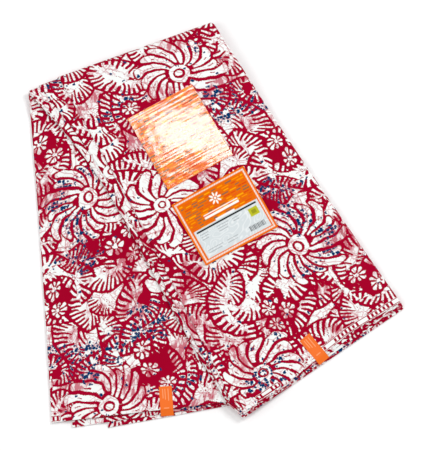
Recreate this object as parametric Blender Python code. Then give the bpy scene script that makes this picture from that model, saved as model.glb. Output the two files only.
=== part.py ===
"""A length of printed cotton, folded by halves to sixteen plies and doubled over into a V, with labels.

The strip lies on a table. Its lower stretch runs from the turned edge at the back to its selvedge end at the
front. At the turned edge the strip doubles back, and its upper stretch runs over the lower one, off its right
side and down to the table. One leaf of the solid stands for two plies. The leaves share one solid, and part
at the left edges and at the selvedge ends, where they are stepped.

Lengths are in metres, +Z is up, and the origin is at the middle of the base of the whole object's box.
"""

import math
from collections import namedtuple

import bpy
import numpy as np

# The strip's section, from the face between the two stretches (depth 0) to the outer face (depth STACK)
LEAF_WALL = 0.0010
LEAF_GAP = 0.0003
LEAF_PITCH = LEAF_WALL + LEAF_GAP
WRAP_LEAVES = 4
CUT_LEAVES = 2
TUCK_LEAVES = 2
LEAF_COUNT = WRAP_LEAVES + CUT_LEAVES + TUCK_LEAVES
STACK = LEAF_COUNT * LEAF_PITCH - LEAF_GAP
STRIP_WIDTH = 0.303
FOLD_RADIUS = STACK / 2
WRAP_RADIUS = (WRAP_LEAVES * LEAF_PITCH - LEAF_GAP) / 2
TUCK_RADIUS = (TUCK_LEAVES * LEAF_PITCH - LEAF_GAP) / 2

# Insets of the left edges: the wrap is the outermost, then the two cut plies, and the tuck is furthest in
TUCK_INSET_LOWER_END = 0.088
TUCK_INSET_FOLD = 0.047
TUCK_INSET_UPPER_END = 0.005
TUCK_INSET_BULGE = 0.005
WRAP_BOW = 0.020
WRAP_BOW_SKEW = 0.59
CUT_SHARE = 0.365
SLOT_SHARE = 0.4
SLOT_DEPTH = 0.012
ROUND_PART_OF_WRAP = 1.06
LEAST_CUT_STEP = 0.0003
LEAST_TUCK_STEP = 0.0012
MIDDLE_COLUMNS = 7
FLAT_BEFORE_FOLD = 1.6

# The plan of the strip: x and y of the corners of its two stretches, and how far their sides draw in halfway
Stretch = namedtuple("Stretch", "fold_left fold_right end_left end_right waist_left waist_right")
FOLD_LEFT = (-0.3032, 0.2111)
FOLD_RIGHT = (-0.0027, 0.3234)
LOWER = Stretch(FOLD_LEFT, FOLD_RIGHT, (-0.2560, -0.3254), (0.0457, -0.2901), 0.0018, 0.0)
UPPER = Stretch(FOLD_LEFT, FOLD_RIGHT, (0.0240, -0.3002), (0.2975, -0.1336), 0.0, 0.0028)

# The turn at the top edge
TURN_RADIUS = 0.0003
TURN_STEPS = 8
TURN_SKEW = math.tan(math.radians(14.4))
SKEW_LEFT_AT_END = 0.3

# Where the upper stretch comes down beside the lower one
RISE = STACK + 2 * TURN_RADIUS
DESCENT_START = 0.006
DESCENT_END = 0.100
DESCENT_FADE_IN = 0.06
SAG_FADE_IN = 0.10
SEAM_GAP = 0.0003

# Lines across a stretch: the way from the fold to the top ply's end, and how far the line reaches past that
Line = namedtuple("Line", "way reach_left reach_right")
LOWER_LINES = (
    Line(0.0, SEAM_GAP, SEAM_GAP),
    Line(0.05, 0.0, 0.0),
    Line(0.10, 0.0, 0.0),
    Line(0.25, 0.0, 0.0),
    Line(0.40, 0.0, 0.0),
    Line(0.55, 0.0, 0.0),
    Line(0.70, 0.0, 0.0),
    Line(0.85, 0.0, 0.0),
    Line(1.0, -SLOT_DEPTH, -SLOT_DEPTH),
    Line(1.0, 0.0, 0.0),
    Line(1.0, 0.0120, 0.0022),
    Line(1.0, 0.0235, 0.0036),
)
UPPER_WAYS = 16
UPPER_END_LINES = (
    Line(1.0, -SLOT_DEPTH, -SLOT_DEPTH),
    Line(1.0, 0.0, 0.0),
    Line(1.0, 0.0090, 0.0040),
    Line(1.0, 0.0185, 0.0075),
    Line(1.0, 0.0280, 0.0110),
)
UPPER_LINES_PAST_TOP = 3

# The labels: where the middle lies in plan, the turn of its top edge from +X, and its size
Label = namedtuple("Label", "name middle turn width height")
LABEL_GAP = 0.0003
LABEL_WALL = 0.0005
LABEL_CELL = 0.0095
FOIL = Label("foil_label", (-0.0548, 0.1368), math.radians(29.4), 0.120, 0.136)
CARD = Label("card_label", (0.0177, 0.0059), math.radians(29.4), 0.133, 0.114)

# The tabs: where the middle of the tab crosses the end of the top ply, which way it runs, and its lengths
Tab = namedtuple("Tab", "name share turn width on_cloth past_end slope")
LOWER_TAB = Tab("lower_tab", 0.603, math.radians(-85.7), 0.0205, 0.0360, 0.0105, 0.62)
UPPER_TAB = Tab("upper_tab", 0.512, math.radians(-50.4), 0.0200, 0.0300, 0.0170, 0.27)
TAB_COLUMNS = 5
TAB_ROWS_ON_CLOTH = 8
TAB_ROWS_PAST_END = 4
TAB_BEND_START = 0.0006

# Colours, with roughness and metallic value
Finish = namedtuple("Finish", "colour roughness metallic")
SHARP_ANGLE = math.radians(40)
CRIMSON_COTTON = Finish((0.40, 0.0, 0.028, 1.0), 0.75, 0.0)
ORANGE_FOIL = Finish((1.0, 0.30, 0.03, 1.0), 0.25, 0.3)
ORANGE_CARD = Finish((1.0, 0.25, 0.01, 1.0), 0.50, 0.0)
ORANGE_TAB = Finish((1.0, 0.20, 0.01, 1.0), 0.50, 0.0)


def clear_scene():
    """Remove whatever the scene holds."""
    for thing in list(bpy.data.objects):
        bpy.data.objects.remove(thing, do_unlink=True)


def smooth(value):
    """Ease from 0 to 1 as the value goes from 0 to 1, level at both ends."""
    held = np.clip(value, 0.0, 1.0)
    return held * held * (3.0 - 2.0 * held)


def between(start, end, share):
    """Plan points at a share of the way from one plan point to another."""
    return np.asarray(start) + (np.asarray(end) - np.asarray(start)) * np.asarray(share)[..., None]


def unit(vector):
    """The same direction, one metre long."""
    return vector / np.linalg.norm(vector, axis=-1, keepdims=True)


def plan_point(stretch, way, share, reach=0.0):
    """Where a point of a stretch lies in plan, at a share of its width."""
    near = between(stretch.fold_left, stretch.fold_right, share)
    far = between(stretch.end_left, stretch.end_right, share)
    on_way = near + (far - near) * np.asarray(way)[..., None]
    waist = (stretch.waist_left * (1.0 - share) - stretch.waist_right * share) * np.sin(math.pi * way)
    inward = unit(np.subtract(stretch.end_right, stretch.end_left))
    return on_way + inward * waist[..., None] + unit(far - near) * np.asarray(reach)[..., None]


FOLD_RUN = unit(np.subtract(FOLD_RIGHT, FOLD_LEFT))
FOLD_OUT = np.array([-FOLD_RUN[1], FOLD_RUN[0]])


def section_columns(tuck, bow):
    """Distances from the strip's left side at which the section has a column of points."""
    wrap_inside = bow + ROUND_PART_OF_WRAP * WRAP_RADIUS
    cut = max(bow + CUT_SHARE * (tuck - bow), wrap_inside + LEAST_CUT_STEP)
    tuck = max(tuck, cut + LEAST_TUCK_STEP)
    slot = SLOT_SHARE * (tuck - cut)
    left = [bow, wrap_inside, (wrap_inside + cut) / 2, cut, cut + slot, tuck - slot, tuck]
    right = STRIP_WIDTH - FLAT_BEFORE_FOLD * FOLD_RADIUS
    middle = np.linspace(tuck + SLOT_DEPTH, right, MIDDLE_COLUMNS)
    return np.array([*left, *middle, STRIP_WIDTH])


# Columns by number
CUT_COLUMN = 3
TUCK_COLUMN = 6
LAST_COLUMN = TUCK_COLUMN + MIDDLE_COLUMNS + 1
# How many leaves are missing under the lower stretch at each column, so that it sags by their thickness
MISSING_UNDER_WRAP = [CUT_LEAVES + TUCK_LEAVES] * CUT_COLUMN
MISSING_UNDER_CUT = [TUCK_LEAVES] * (TUCK_COLUMN - CUT_COLUMN)
SAG_LEAVES = np.array(MISSING_UNDER_WRAP + MISSING_UNDER_CUT + [0] * (LAST_COLUMN + 1 - TUCK_COLUMN))
# Depths of the faces of the leaves, two for each leaf
FACE_DEPTHS = np.array([[n * LEAF_PITCH, n * LEAF_PITCH + LEAF_WALL] for n in range(LEAF_COUNT)]).ravel()


def across_of(columns):
    """Distances from the left side, by column, line and face, with the folded edges rounded."""
    across = np.repeat(columns[:, :, None], len(FACE_DEPTHS), axis=2)
    wrap = FACE_DEPTHS < 2 * WRAP_RADIUS + LEAF_GAP / 2
    tuck_depth = (WRAP_LEAVES + CUT_LEAVES) * LEAF_PITCH
    tuck = FACE_DEPTHS > tuck_depth - LEAF_GAP / 2
    across[0][:, wrap] += round_inset(FACE_DEPTHS[wrap], WRAP_RADIUS)
    across[TUCK_COLUMN][:, tuck] += round_inset(FACE_DEPTHS[tuck] - tuck_depth, TUCK_RADIUS)
    across[LAST_COLUMN] -= round_inset(FACE_DEPTHS, FOLD_RADIUS)
    return across


def round_inset(depth, radius):
    """How far a folded edge stands back at a depth below its face."""
    return radius - np.sqrt(np.maximum(radius**2 - (depth - radius) ** 2, 0.0))


def first_columns():
    """The column at which each leaf starts."""
    return [0] * WRAP_LEAVES + [CUT_COLUMN] * CUT_LEAVES + [TUCK_COLUMN] * TUCK_LEAVES


def filled_cells(line_count, end_lines):
    """Which cells between columns, lines and faces are cloth. Every second layer lies between two leaves."""
    filled = np.zeros((LAST_COLUMN, line_count - 1, 2 * LEAF_COUNT - 1), bool)
    starts = first_columns()
    for leaf in range(LEAF_COUNT):
        filled[starts[leaf] :, : end_lines[leaf], 2 * leaf] = True
    for leaf in range(LEAF_COUNT - 1):
        gap = 2 * leaf + 1
        start = max(starts[leaf], starts[leaf + 1])
        end = min(end_lines[leaf], end_lines[leaf + 1])
        filled[start:, :end, gap] = True
        folded_here = starts[leaf] == starts[leaf + 1] != CUT_COLUMN
        slot_start = start + 1 if folded_here else start
        filled[slot_start:-1, end - 1, gap] = False
        if not folded_here:
            filled[start, :end, gap] = False
    return filled


def skin(filled):
    """Corner numbers of the outward faces of the filled cells, as quads of (column, line, face) corners."""
    padded = np.pad(filled, 1)
    quads = []
    steps = np.eye(3, dtype=int)
    for axis in range(3):
        one, two = steps[(axis + 1) % 3], steps[(axis + 2) % 3]
        before = np.roll(padded, 1, axis)
        for outward, cells in ((False, padded & ~before), (True, before & ~padded)):
            for cell in np.argwhere(cells) - 1:
                sides = (one, two) if outward else (two, one)
                quads.append([cell, cell + sides[0], cell + one + two, cell + sides[1]])
    return np.array(quads)


def add_mesh(name, points, triangles, finish):
    """Make a named object from points and triangles, with its own material."""
    used, numbers = np.unique(triangles, return_inverse=True)
    mesh = bpy.data.meshes.new(name)
    mesh.from_pydata(points[used].tolist(), [], numbers.reshape(-1, 3).tolist())
    mesh.update()
    thing = bpy.data.objects.new(name, mesh)
    bpy.context.scene.collection.objects.link(thing)
    material = bpy.data.materials.new(name)
    material.use_nodes = True
    shader = material.node_tree.nodes["Principled BSDF"]
    shader.inputs["Base Color"].default_value = finish.colour
    shader.inputs["Roughness"].default_value = finish.roughness
    shader.inputs["Metallic"].default_value = finish.metallic
    mesh.materials.append(material)
    mesh.shade_smooth()
    mesh.set_sharp_from_angle(angle=SHARP_ANGLE)


def add_block(name, points, filled, finish):
    """Make an object from the skin of the filled cells, whose corners lie at the points."""
    quads = skin(filled)
    numbers = np.ravel_multi_index(np.moveaxis(quads, 2, 0), points.shape[:3])
    triangles = np.concatenate([numbers[:, [0, 1, 2]], numbers[:, [0, 2, 3]]])
    add_mesh(name, points.reshape(-1, 3), triangles, finish)


def lower_stretch():
    """The stretch that lies on the table, with steps at its left side and end."""
    ways = np.array([line.way for line in LOWER_LINES])
    tucks = TUCK_INSET_FOLD + (TUCK_INSET_LOWER_END - TUCK_INSET_FOLD) * ways
    columns = np.array([section_columns(tuck, 0.0) for tuck in tucks]).T
    share = across_of(columns) / STRIP_WIDTH
    left = np.array([line.reach_left for line in LOWER_LINES])[None, :, None]
    right = np.array([line.reach_right for line in LOWER_LINES])[None, :, None]
    way = np.broadcast_to(ways[None, :, None], share.shape)
    plan = plan_point(LOWER, way, share, left + (right - left) * share)
    sag = SAG_LEAVES[:, None] * LEAF_PITCH * smooth(ways / SAG_FADE_IN)[None, :]
    height = STACK - FACE_DEPTHS[None, None, :] - sag[:, :, None]
    points = np.concatenate([plan, height[..., None]], axis=3)
    last = len(LOWER_LINES) - 1
    ends = [last - 2] * WRAP_LEAVES + [last - 1] * CUT_LEAVES + [last] * TUCK_LEAVES
    add_block("lower_stretch", points, filled_cells(len(LOWER_LINES), ends), CRIMSON_COTTON)


def drop_beside_lower(plan, way):
    """How far the upper stretch is down at a plan point, past the right side or the end of the lower one."""
    side_run = unit(np.subtract(LOWER.end_right, LOWER.fold_right))
    side_out = np.array([-side_run[1], side_run[0]])
    end_run = unit(np.subtract(LOWER.end_right, LOWER.end_left))
    end_out = np.array([end_run[1], -end_run[0]])
    past_side = np.maximum((plan - LOWER.fold_right) @ side_out, 0.0)
    past_end = np.maximum((plan - LOWER.end_right) @ end_out, 0.0)
    distance = np.hypot(past_side, past_end)
    down = smooth((distance - DESCENT_START) / (DESCENT_END - DESCENT_START))
    return RISE * down * smooth(way / DESCENT_FADE_IN)


def upper_stretch():
    """The turn at the top edge and the stretch that lies over the lower one. Returns its points too."""
    spread = np.linspace(0.0, 1.0, UPPER_WAYS)[1:-1]
    lines = [Line(way, 0.0, 0.0) for way in spread] + list(UPPER_END_LINES)
    ways = np.array([line.way for line in lines])
    bows = WRAP_BOW * np.sin(math.pi * ways**WRAP_BOW_SKEW) ** 2
    tucks = TUCK_INSET_FOLD + (TUCK_INSET_UPPER_END - TUCK_INSET_FOLD) * ways
    tucks = tucks + TUCK_INSET_BULGE * np.sin(math.pi * ways)
    turn_columns = np.repeat(section_columns(TUCK_INSET_FOLD, 0.0)[:, None], TURN_STEPS + 1, axis=1)
    run_columns = np.array([section_columns(tuck, bow) for tuck, bow in zip(tucks, bows)]).T
    radius = TURN_RADIUS + FACE_DEPTHS[None, None, :]

    turn_share = across_of(turn_columns) / STRIP_WIDTH
    angle = np.linspace(0.0, math.pi, TURN_STEPS + 1)[None, :, None]
    turn_plan = between(FOLD_LEFT, FOLD_RIGHT, turn_share)
    turn_plan = turn_plan + FOLD_OUT * (radius * np.sin(angle))[..., None]
    turn_plan = turn_plan + FOLD_RUN * (TURN_SKEW * radius * angle)[..., None]
    turn_height = np.broadcast_to(STACK + TURN_RADIUS - radius * np.cos(angle), turn_share.shape)

    run_share = across_of(run_columns) / STRIP_WIDTH
    left = np.array([line.reach_left for line in lines])[None, :, None]
    right = np.array([line.reach_right for line in lines])[None, :, None]
    way = np.broadcast_to(ways[None, :, None], run_share.shape)
    run_plan = plan_point(UPPER, way, run_share, left + (right - left) * run_share)
    floor_plan = run_plan[:, :, -1]
    run_height = RISE - drop_beside_lower(floor_plan, ways[None, :])[..., None] + FACE_DEPTHS
    slip = TURN_SKEW * radius * math.pi * (1.0 - (1.0 - SKEW_LEFT_AT_END) * way)
    run_plan = run_plan + FOLD_RUN * slip[..., None]

    turn_points = np.concatenate([turn_plan, turn_height[..., None]], axis=3)
    run_points = np.concatenate([run_plan, run_height[..., None]], axis=3)
    # Its faces count upwards and the lower stretch's count down, so its lines start from the end
    points = np.concatenate([turn_points, run_points], axis=1)[:, ::-1]
    last = points.shape[1] - 1
    ends = [last, last, last - 1, last - 1, last - 2, last - 2, last - 3, last - 3]
    add_block("upper_stretch", points, filled_cells(points.shape[1], ends)[:, ::-1], CRIMSON_COTTON)
    return points


def lower_top_points():
    """Corners of the flat top of the lower stretch, for the tab that lies on it."""
    around = (LOWER.fold_left, LOWER.fold_right, LOWER.end_right, LOWER.end_left)
    flat = np.array([[*corner, STACK] for corner in around])
    return flat[None, [0, 3]], flat[None, [1, 2]]


def top_triangles(sheet):
    """Triangles of a sheet of points given by column and line, split as the block's own faces are."""
    corners = sheet[:-1, :-1], sheet[1:, :-1], sheet[1:, 1:], sheet[:-1, 1:]
    one, two, three, four = (corner.reshape(-1, 3) for corner in corners)
    return np.concatenate([np.stack([one, two, three], 1), np.stack([one, three, four], 1)])


def height_on(triangles, x, y):
    """Height of the triangles at a plan point, or of the nearest one past their edge."""
    one, two, three = triangles[:, 0], triangles[:, 1], triangles[:, 2]
    side, other = two - one, three - one
    area = side[:, 0] * other[:, 1] - side[:, 1] * other[:, 0]
    to_x, to_y = x - one[:, 0], y - one[:, 1]
    share = (to_x * other[:, 1] - to_y * other[:, 0]) / area
    other_share = (side[:, 0] * to_y - side[:, 1] * to_x) / area
    inside = np.minimum(np.minimum(share, other_share), 1.0 - share - other_share)
    best = int(np.argmax(inside))
    return float(one[best, 2] + share[best] * side[best, 2] + other_share[best] * other[best, 2])


def add_plate(name, under, finish):
    """Make a thin plate whose underside is the given sheet of points, a column and line at a time."""
    columns, lines = under.shape[:2]
    over = under + np.array([0.0, 0.0, LABEL_WALL])
    points = np.stack([under, over], axis=2)
    add_block(name, points, np.ones((columns - 1, lines - 1, 1), bool), finish)


def add_label(label, triangles, finish):
    """Make a label that follows the cloth below it."""
    run = np.array([math.cos(label.turn), math.sin(label.turn)])
    down = np.array([run[1], -run[0]])
    across = np.linspace(-0.5, 0.5, round(label.width / LABEL_CELL) + 1) * label.width
    along = np.linspace(0.5, -0.5, round(label.height / LABEL_CELL) + 1) * label.height
    plan = np.array(label.middle) + across[:, None, None] * run + along[None, :, None] * down
    height = [[height_on(triangles, *point) + LABEL_GAP for point in line] for line in plan]
    add_plate(label.name, np.concatenate([plan, np.array(height)[..., None]], axis=2), finish)


def add_tab(tab, stretch, shift, triangles, finish):
    """Make a tab that lies on a stretch and bends down over the steps at its end."""
    edge_run = unit(np.subtract(stretch.end_right, stretch.end_left))
    edge_out = np.array([edge_run[1], -edge_run[0]])
    middle = between(stretch.end_left, stretch.end_right, np.array(tab.share)) + shift
    run = np.array([math.cos(tab.turn), math.sin(tab.turn)])
    run = run / (run @ edge_out)
    on_cloth = np.linspace(-tab.on_cloth, 0.0, TAB_ROWS_ON_CLOTH)
    past_end = np.linspace(TAB_BEND_START, tab.past_end, TAB_ROWS_PAST_END)
    rows = np.concatenate([on_cloth, past_end])
    across = np.linspace(-0.5, 0.5, TAB_COLUMNS) * tab.width
    plan = middle + across[:, None, None] * edge_run + rows[None, :, None] * run
    held = middle + across[:, None, None] * edge_run + np.minimum(rows, -TAB_BEND_START)[None, :, None] * run
    height = np.array([[height_on(triangles, *point) for point in line] for line in held])
    bend = tab.slope * np.maximum(rows - TAB_BEND_START, 0.0)
    under = np.concatenate([plan, (height + LABEL_GAP - bend)[..., None]], axis=2)
    # Lines run down the page here, so the columns are turned round to keep the faces outward
    add_plate(tab.name, under[::-1], finish)


def build():
    """Make the whole object."""
    clear_scene()
    lower_stretch()
    points = upper_stretch()
    top = points[TUCK_COLUMN:, UPPER_LINES_PAST_TOP:-TURN_STEPS, -1]
    upper_top = top_triangles(top)
    flat_left, flat_right = lower_top_points()
    lower_top = top_triangles(np.concatenate([flat_left, flat_right]))
    add_label(FOIL, upper_top, ORANGE_FOIL)
    add_label(CARD, upper_top, ORANGE_CARD)
    slip = TURN_SKEW * (TURN_RADIUS + STACK) * math.pi * SKEW_LEFT_AT_END
    add_tab(LOWER_TAB, LOWER, np.zeros(2), lower_top, ORANGE_TAB)
    add_tab(UPPER_TAB, UPPER, FOLD_RUN * slip, upper_top, ORANGE_TAB)


build()
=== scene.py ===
"""Looks of a folded length of printed cotton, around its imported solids.

The cloth is folded to sixteen plies and doubled over across its top into a V. Each stretch is one closed mesh of
sixteen plies, parted where they show: at the stepped left edges and at the selvedge ends. The print is worked out
from motif formulas in the cloth's own flat coordinates, and follows the cloth round the turned edge.

Lengths are in metres, +Z is up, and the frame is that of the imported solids. On the flat cloth, u runs across the
strip and v along it. A label's ink is laid out in millimetres from its top left corner.
"""

from __future__ import annotations

import logging
import math
from collections.abc import Sequence
from dataclasses import dataclass
from enum import Enum

import bpy
import numpy as np
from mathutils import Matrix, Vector
from mathutils.bvhtree import BVHTree

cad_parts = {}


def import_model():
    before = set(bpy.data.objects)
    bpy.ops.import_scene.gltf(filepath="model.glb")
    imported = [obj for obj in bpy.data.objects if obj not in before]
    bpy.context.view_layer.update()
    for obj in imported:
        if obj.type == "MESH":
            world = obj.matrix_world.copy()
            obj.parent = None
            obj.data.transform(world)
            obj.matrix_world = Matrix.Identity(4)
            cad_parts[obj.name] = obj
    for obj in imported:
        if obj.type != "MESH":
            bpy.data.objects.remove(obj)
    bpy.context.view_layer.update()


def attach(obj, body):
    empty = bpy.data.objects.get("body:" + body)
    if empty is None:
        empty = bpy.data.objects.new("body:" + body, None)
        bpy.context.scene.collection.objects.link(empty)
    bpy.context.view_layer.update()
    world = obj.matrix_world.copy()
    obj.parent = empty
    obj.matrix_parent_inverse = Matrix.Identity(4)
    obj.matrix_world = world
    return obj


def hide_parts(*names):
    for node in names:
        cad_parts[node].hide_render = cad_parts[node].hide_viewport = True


LOG = logging.getLogger("folded_cotton")
BODY = "root"

Array = np.ndarray
Socket = bpy.types.NodeSocket
Pair = tuple[float, float]
Point = tuple[float, float, float]
Colour = tuple[float, float, float, float]
Box = tuple[float, float, float, float]


def smooth(value: Array | float) -> Array:
    """Return numbers eased from 0 to 1, level at both ends and held outside them."""
    held = np.clip(value, 0.0, 1.0)
    return held * held * (3.0 - 2.0 * held)


def unit(vector: Array) -> Array:
    """Return the same directions with a length of one."""
    return vector / np.linalg.norm(vector, axis=-1, keepdims=True)


def blend(start: Array | float, end: Array | float, share: Array) -> Array:
    """Return what lies at a share of the way from one value to another."""
    return start + (end - start) * share


def between(start: Array | Pair, end: Array | Pair, share: Array) -> Array:
    """Return points at a share of the way from one point to another."""
    return blend(np.asarray(start), np.asarray(end), np.asarray(share)[..., None])


def through_knots(place: Array, places: Sequence[float], values: Sequence[Array | float]) -> Array:
    """Find a quantity that changes in straight lines between knots.

    Args:
        place: Where to find it.
        places: Places of the knots, in order.
        values: The quantity at each knot.

    Returns:
        The quantity at each place, held level past the first and the last knot.
    """
    found = np.broadcast_to(values[0], place.shape).astype(float)
    for low, high, start, end in zip(places, places[1:], values, values[1:]):
        share = np.clip((place - low) / (high - low), 0.0, 1.0)
        found = np.where(place > low, blend(start, end, share), found)
    return found


def linear(red: float, green: float, blue: float) -> Colour:
    """Turn a screen colour of 0 to 255 into the linear colour that a shader takes.

    Args:
        red: Red of the screen colour.
        green: Green of the screen colour.
        blue: Blue of the screen colour.

    Returns:
        Linear red, green and blue, with an alpha of one.
    """
    shares = [channel / 255.0 for channel in (red, green, blue)]
    levels = [s / 12.92 if s <= 0.04045 else ((s + 0.055) / 1.055) ** 2.4 for s in shares]
    return levels[0], levels[1], levels[2], 1.0


# Dyes of the cloth, and the painted shade on its upright sides
CRIMSON = linear(152, 0, 34)
BRIGHT_CRIMSON = linear(166, 0, 43)
CLOTH_WHITE = linear(241, 244, 242)
# Painted shade on the cloth's upright sides: a deep crimson that also stands for the dark cut thread ends
THREAD_END_AND_SIDE_SHADE = linear(96, 8, 26)
WASH_PINK = linear(188, 58, 84)
VEIN_PINK = linear(202, 98, 118)
INDIGO = linear(4, 52, 98)

# Inks of the labels
FOIL_ORANGE = linear(236, 112, 0)
EDGE_ORANGE = linear(232, 106, 0)
CARD_ORANGE = linear(226, 106, 0)
TAB_ORANGE = linear(239, 107, 4)
TAB_MARK = linear(255, 190, 140)
BORDER_PALE = linear(243, 231, 220)
BORDER_HATCH = linear(214, 138, 108)
MARK_WHITE = linear(250, 246, 240)
STRIP_WHITE = linear(240, 240, 240)
PANEL_GREY = linear(210, 217, 219)
SWIRL_WHITE = linear(238, 241, 241)
RULE_BLACK = linear(12, 12, 16)
BADGE_GREEN = linear(186, 186, 40)
BADGE_MIDDLE = linear(150, 150, 30)
TEXT_GREY = linear(96, 98, 106)
BAR_GREY = linear(60, 60, 66)
DASH_INKS = (
    linear(252, 176, 10),
    linear(214, 58, 14),
    linear(250, 150, 0),
    linear(98, 96, 80),
    linear(226, 84, 24),
    linear(110, 100, 70),
)


class Piece(Enum):
    """The visible pieces, each with its name, the node that it replaces and its slot."""

    LOWER_CLOTH = ("lower_cloth", "lower_stretch", "cotton")
    UPPER_CLOTH = ("upper_cloth", "upper_stretch", "cotton")
    FOIL = ("foil", "foil_label", "foil_label")
    CARD = ("card", "card_label", "card_label")
    LOWER_TAB = ("lower_tab_paper", "lower_tab", "tab")
    UPPER_TAB = ("upper_tab_paper", "upper_tab", "tab")


# Folding of the cloth, as the solids have it


@dataclass(frozen=True)
class Stack:
    """The sixteen plies of the strip, counted from the face between the stretches outwards.

    At the left side the first plies wrap round, the next are cut edges, and the last are tucked in.
    """

    height: float = 0.0101
    gap: float = 0.00018
    wrap_plies: int = 8
    cut_plies: int = 4
    tuck_plies: int = 4

    @property
    def parts(self) -> tuple[int, int, int]:
        """Plies of the wrap, of the cut edges and of the tuck."""
        return self.wrap_plies, self.cut_plies, self.tuck_plies

    @property
    def plies(self) -> int:
        """Number of plies."""
        return sum(self.parts)

    @property
    def pitch(self) -> float:
        """Thickness of one ply with the gap after it."""
        return (self.height + self.gap) / self.plies

    @property
    def depths(self) -> Array:
        """Depths of the plies' faces, two for each ply."""
        starts = np.arange(self.plies) * self.pitch
        return np.stack([starts, starts + self.pitch - self.gap], axis=1).ravel()

    @property
    def wrap_radius(self) -> float:
        """Radius of the wrap's folded edge."""
        return (self.wrap_plies * self.pitch - self.gap) / 2

    @property
    def tuck_radius(self) -> float:
        """Radius of the tuck's folded edge."""
        return (self.tuck_plies * self.pitch - self.gap) / 2


STACK = Stack()
STRIP_WIDTH = 0.303
FOLD_RADIUS = STACK.height / 2
FLAT_BEFORE_FOLD = 1.6  # radii from the side, where the last flat column lies
CUT_SHARE = 0.365  # where the cut edges lie on the way from the wrap's edge to the tuck's
ROUND_PART_OF_WRAP = 1.06  # radii of the wrap's edge, up to the first flat column
LEAST_CUT_STEP = 0.0003
LEAST_TUCK_STEP = 0.0012
SLOT_WIDTH = 0.004  # width of the cells that close the gaps between plies
LEAF_PITCH = 0.0013  # thickness of two plies, as one leaf of the solids has it
GROUP_PLIES = 4  # plies that end together
FINE = 3  # cells along each side of a face that is open to the sky


@dataclass(frozen=True)
class StripPlan:
    """Corners of a stretch in plan, and how far its sides draw in halfway."""

    fold_left: Pair
    fold_right: Pair
    end_left: Pair
    end_right: Pair
    waist_left: float
    waist_right: float

    @property
    def length(self) -> float:
        """Length of the stretch along its middle."""
        ends = np.add(self.end_left, self.end_right) - np.add(self.fold_left, self.fold_right)
        return float(np.linalg.norm(ends / 2))

    @property
    def end_run(self) -> Array:
        """Direction of the end line, to the right."""
        return unit(np.subtract(self.end_right, self.end_left))

    def at(self, way: Array, share: Array, reach: Array) -> Array:
        """Find where points of the stretch lie in plan.

        Args:
            way: Share of the way from the fold to the top ply's end.
            share: Share of the way from the left side to the right.
            reach: Metres past that point, along the stretch.

        Returns:
            Plan points.
        """
        near = between(self.fold_left, self.fold_right, share)
        far = between(self.end_left, self.end_right, share)
        waist = (self.waist_left * (1.0 - share) - self.waist_right * share) * np.sin(math.pi * way)
        return (
            near + (far - near) * way[..., None] + self.end_run * waist[..., None] + unit(far - near) * reach[..., None]
        )


FOLD_LEFT = (-0.3032, 0.2111)
FOLD_RIGHT = (-0.0027, 0.3234)
LOWER_PLAN = StripPlan(FOLD_LEFT, FOLD_RIGHT, (-0.2560, -0.3254), (0.0457, -0.2901), 0.0018, 0.0)
UPPER_PLAN = StripPlan(FOLD_LEFT, FOLD_RIGHT, (0.0240, -0.3002), (0.2975, -0.1336), 0.0, 0.0028)
FOLD_RUN = unit(np.subtract(FOLD_RIGHT, FOLD_LEFT))
FOLD_OUT = np.array([-FOLD_RUN[1], FOLD_RUN[0]])


def round_inset(depth: Array, radius: float) -> Array:
    """Return how far a folded edge stands back at a depth below its face."""
    return radius - np.sqrt(np.maximum(radius**2 - (depth - radius) ** 2, 0.0))


# The print


@dataclass(frozen=True)
class Ripple:
    """A smooth uneven field over the cloth, made of sine waves in set directions."""

    wavelength: float
    height: float
    seed: int
    waves: int = 7

    def at(self, u: Array, v: Array) -> Array:
        """Find the field's values.

        Args:
            u: Metres across the cloth.
            v: Metres along the cloth.

        Returns:
            Values around zero, of about the given height.
        """
        draw = np.random.default_rng(self.seed)
        total = np.zeros_like(u)
        for _ in range(self.waves):
            angle, phase = draw.uniform(0.0, 2.0 * math.pi, 2)
            pace = 2.0 * math.pi / (self.wavelength * draw.uniform(0.7, 1.4))
            total += np.sin(pace * (u * math.cos(angle) + v * math.sin(angle)) + phase)
        return total * self.height / math.sqrt(self.waves / 2.0)


@dataclass(frozen=True)
class Motif:
    """A shape of the print, placed on the flat cloth."""

    u: float
    v: float

    @property
    def extent(self) -> float:
        """Radius of the circle that holds the motif."""
        raise NotImplementedError

    def distances(self, u: Array, v: Array) -> tuple[Array, Array]:
        """Return metres inside the motif's white parts, and inside the crimson ground that it lies on."""
        raise NotImplementedError


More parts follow.
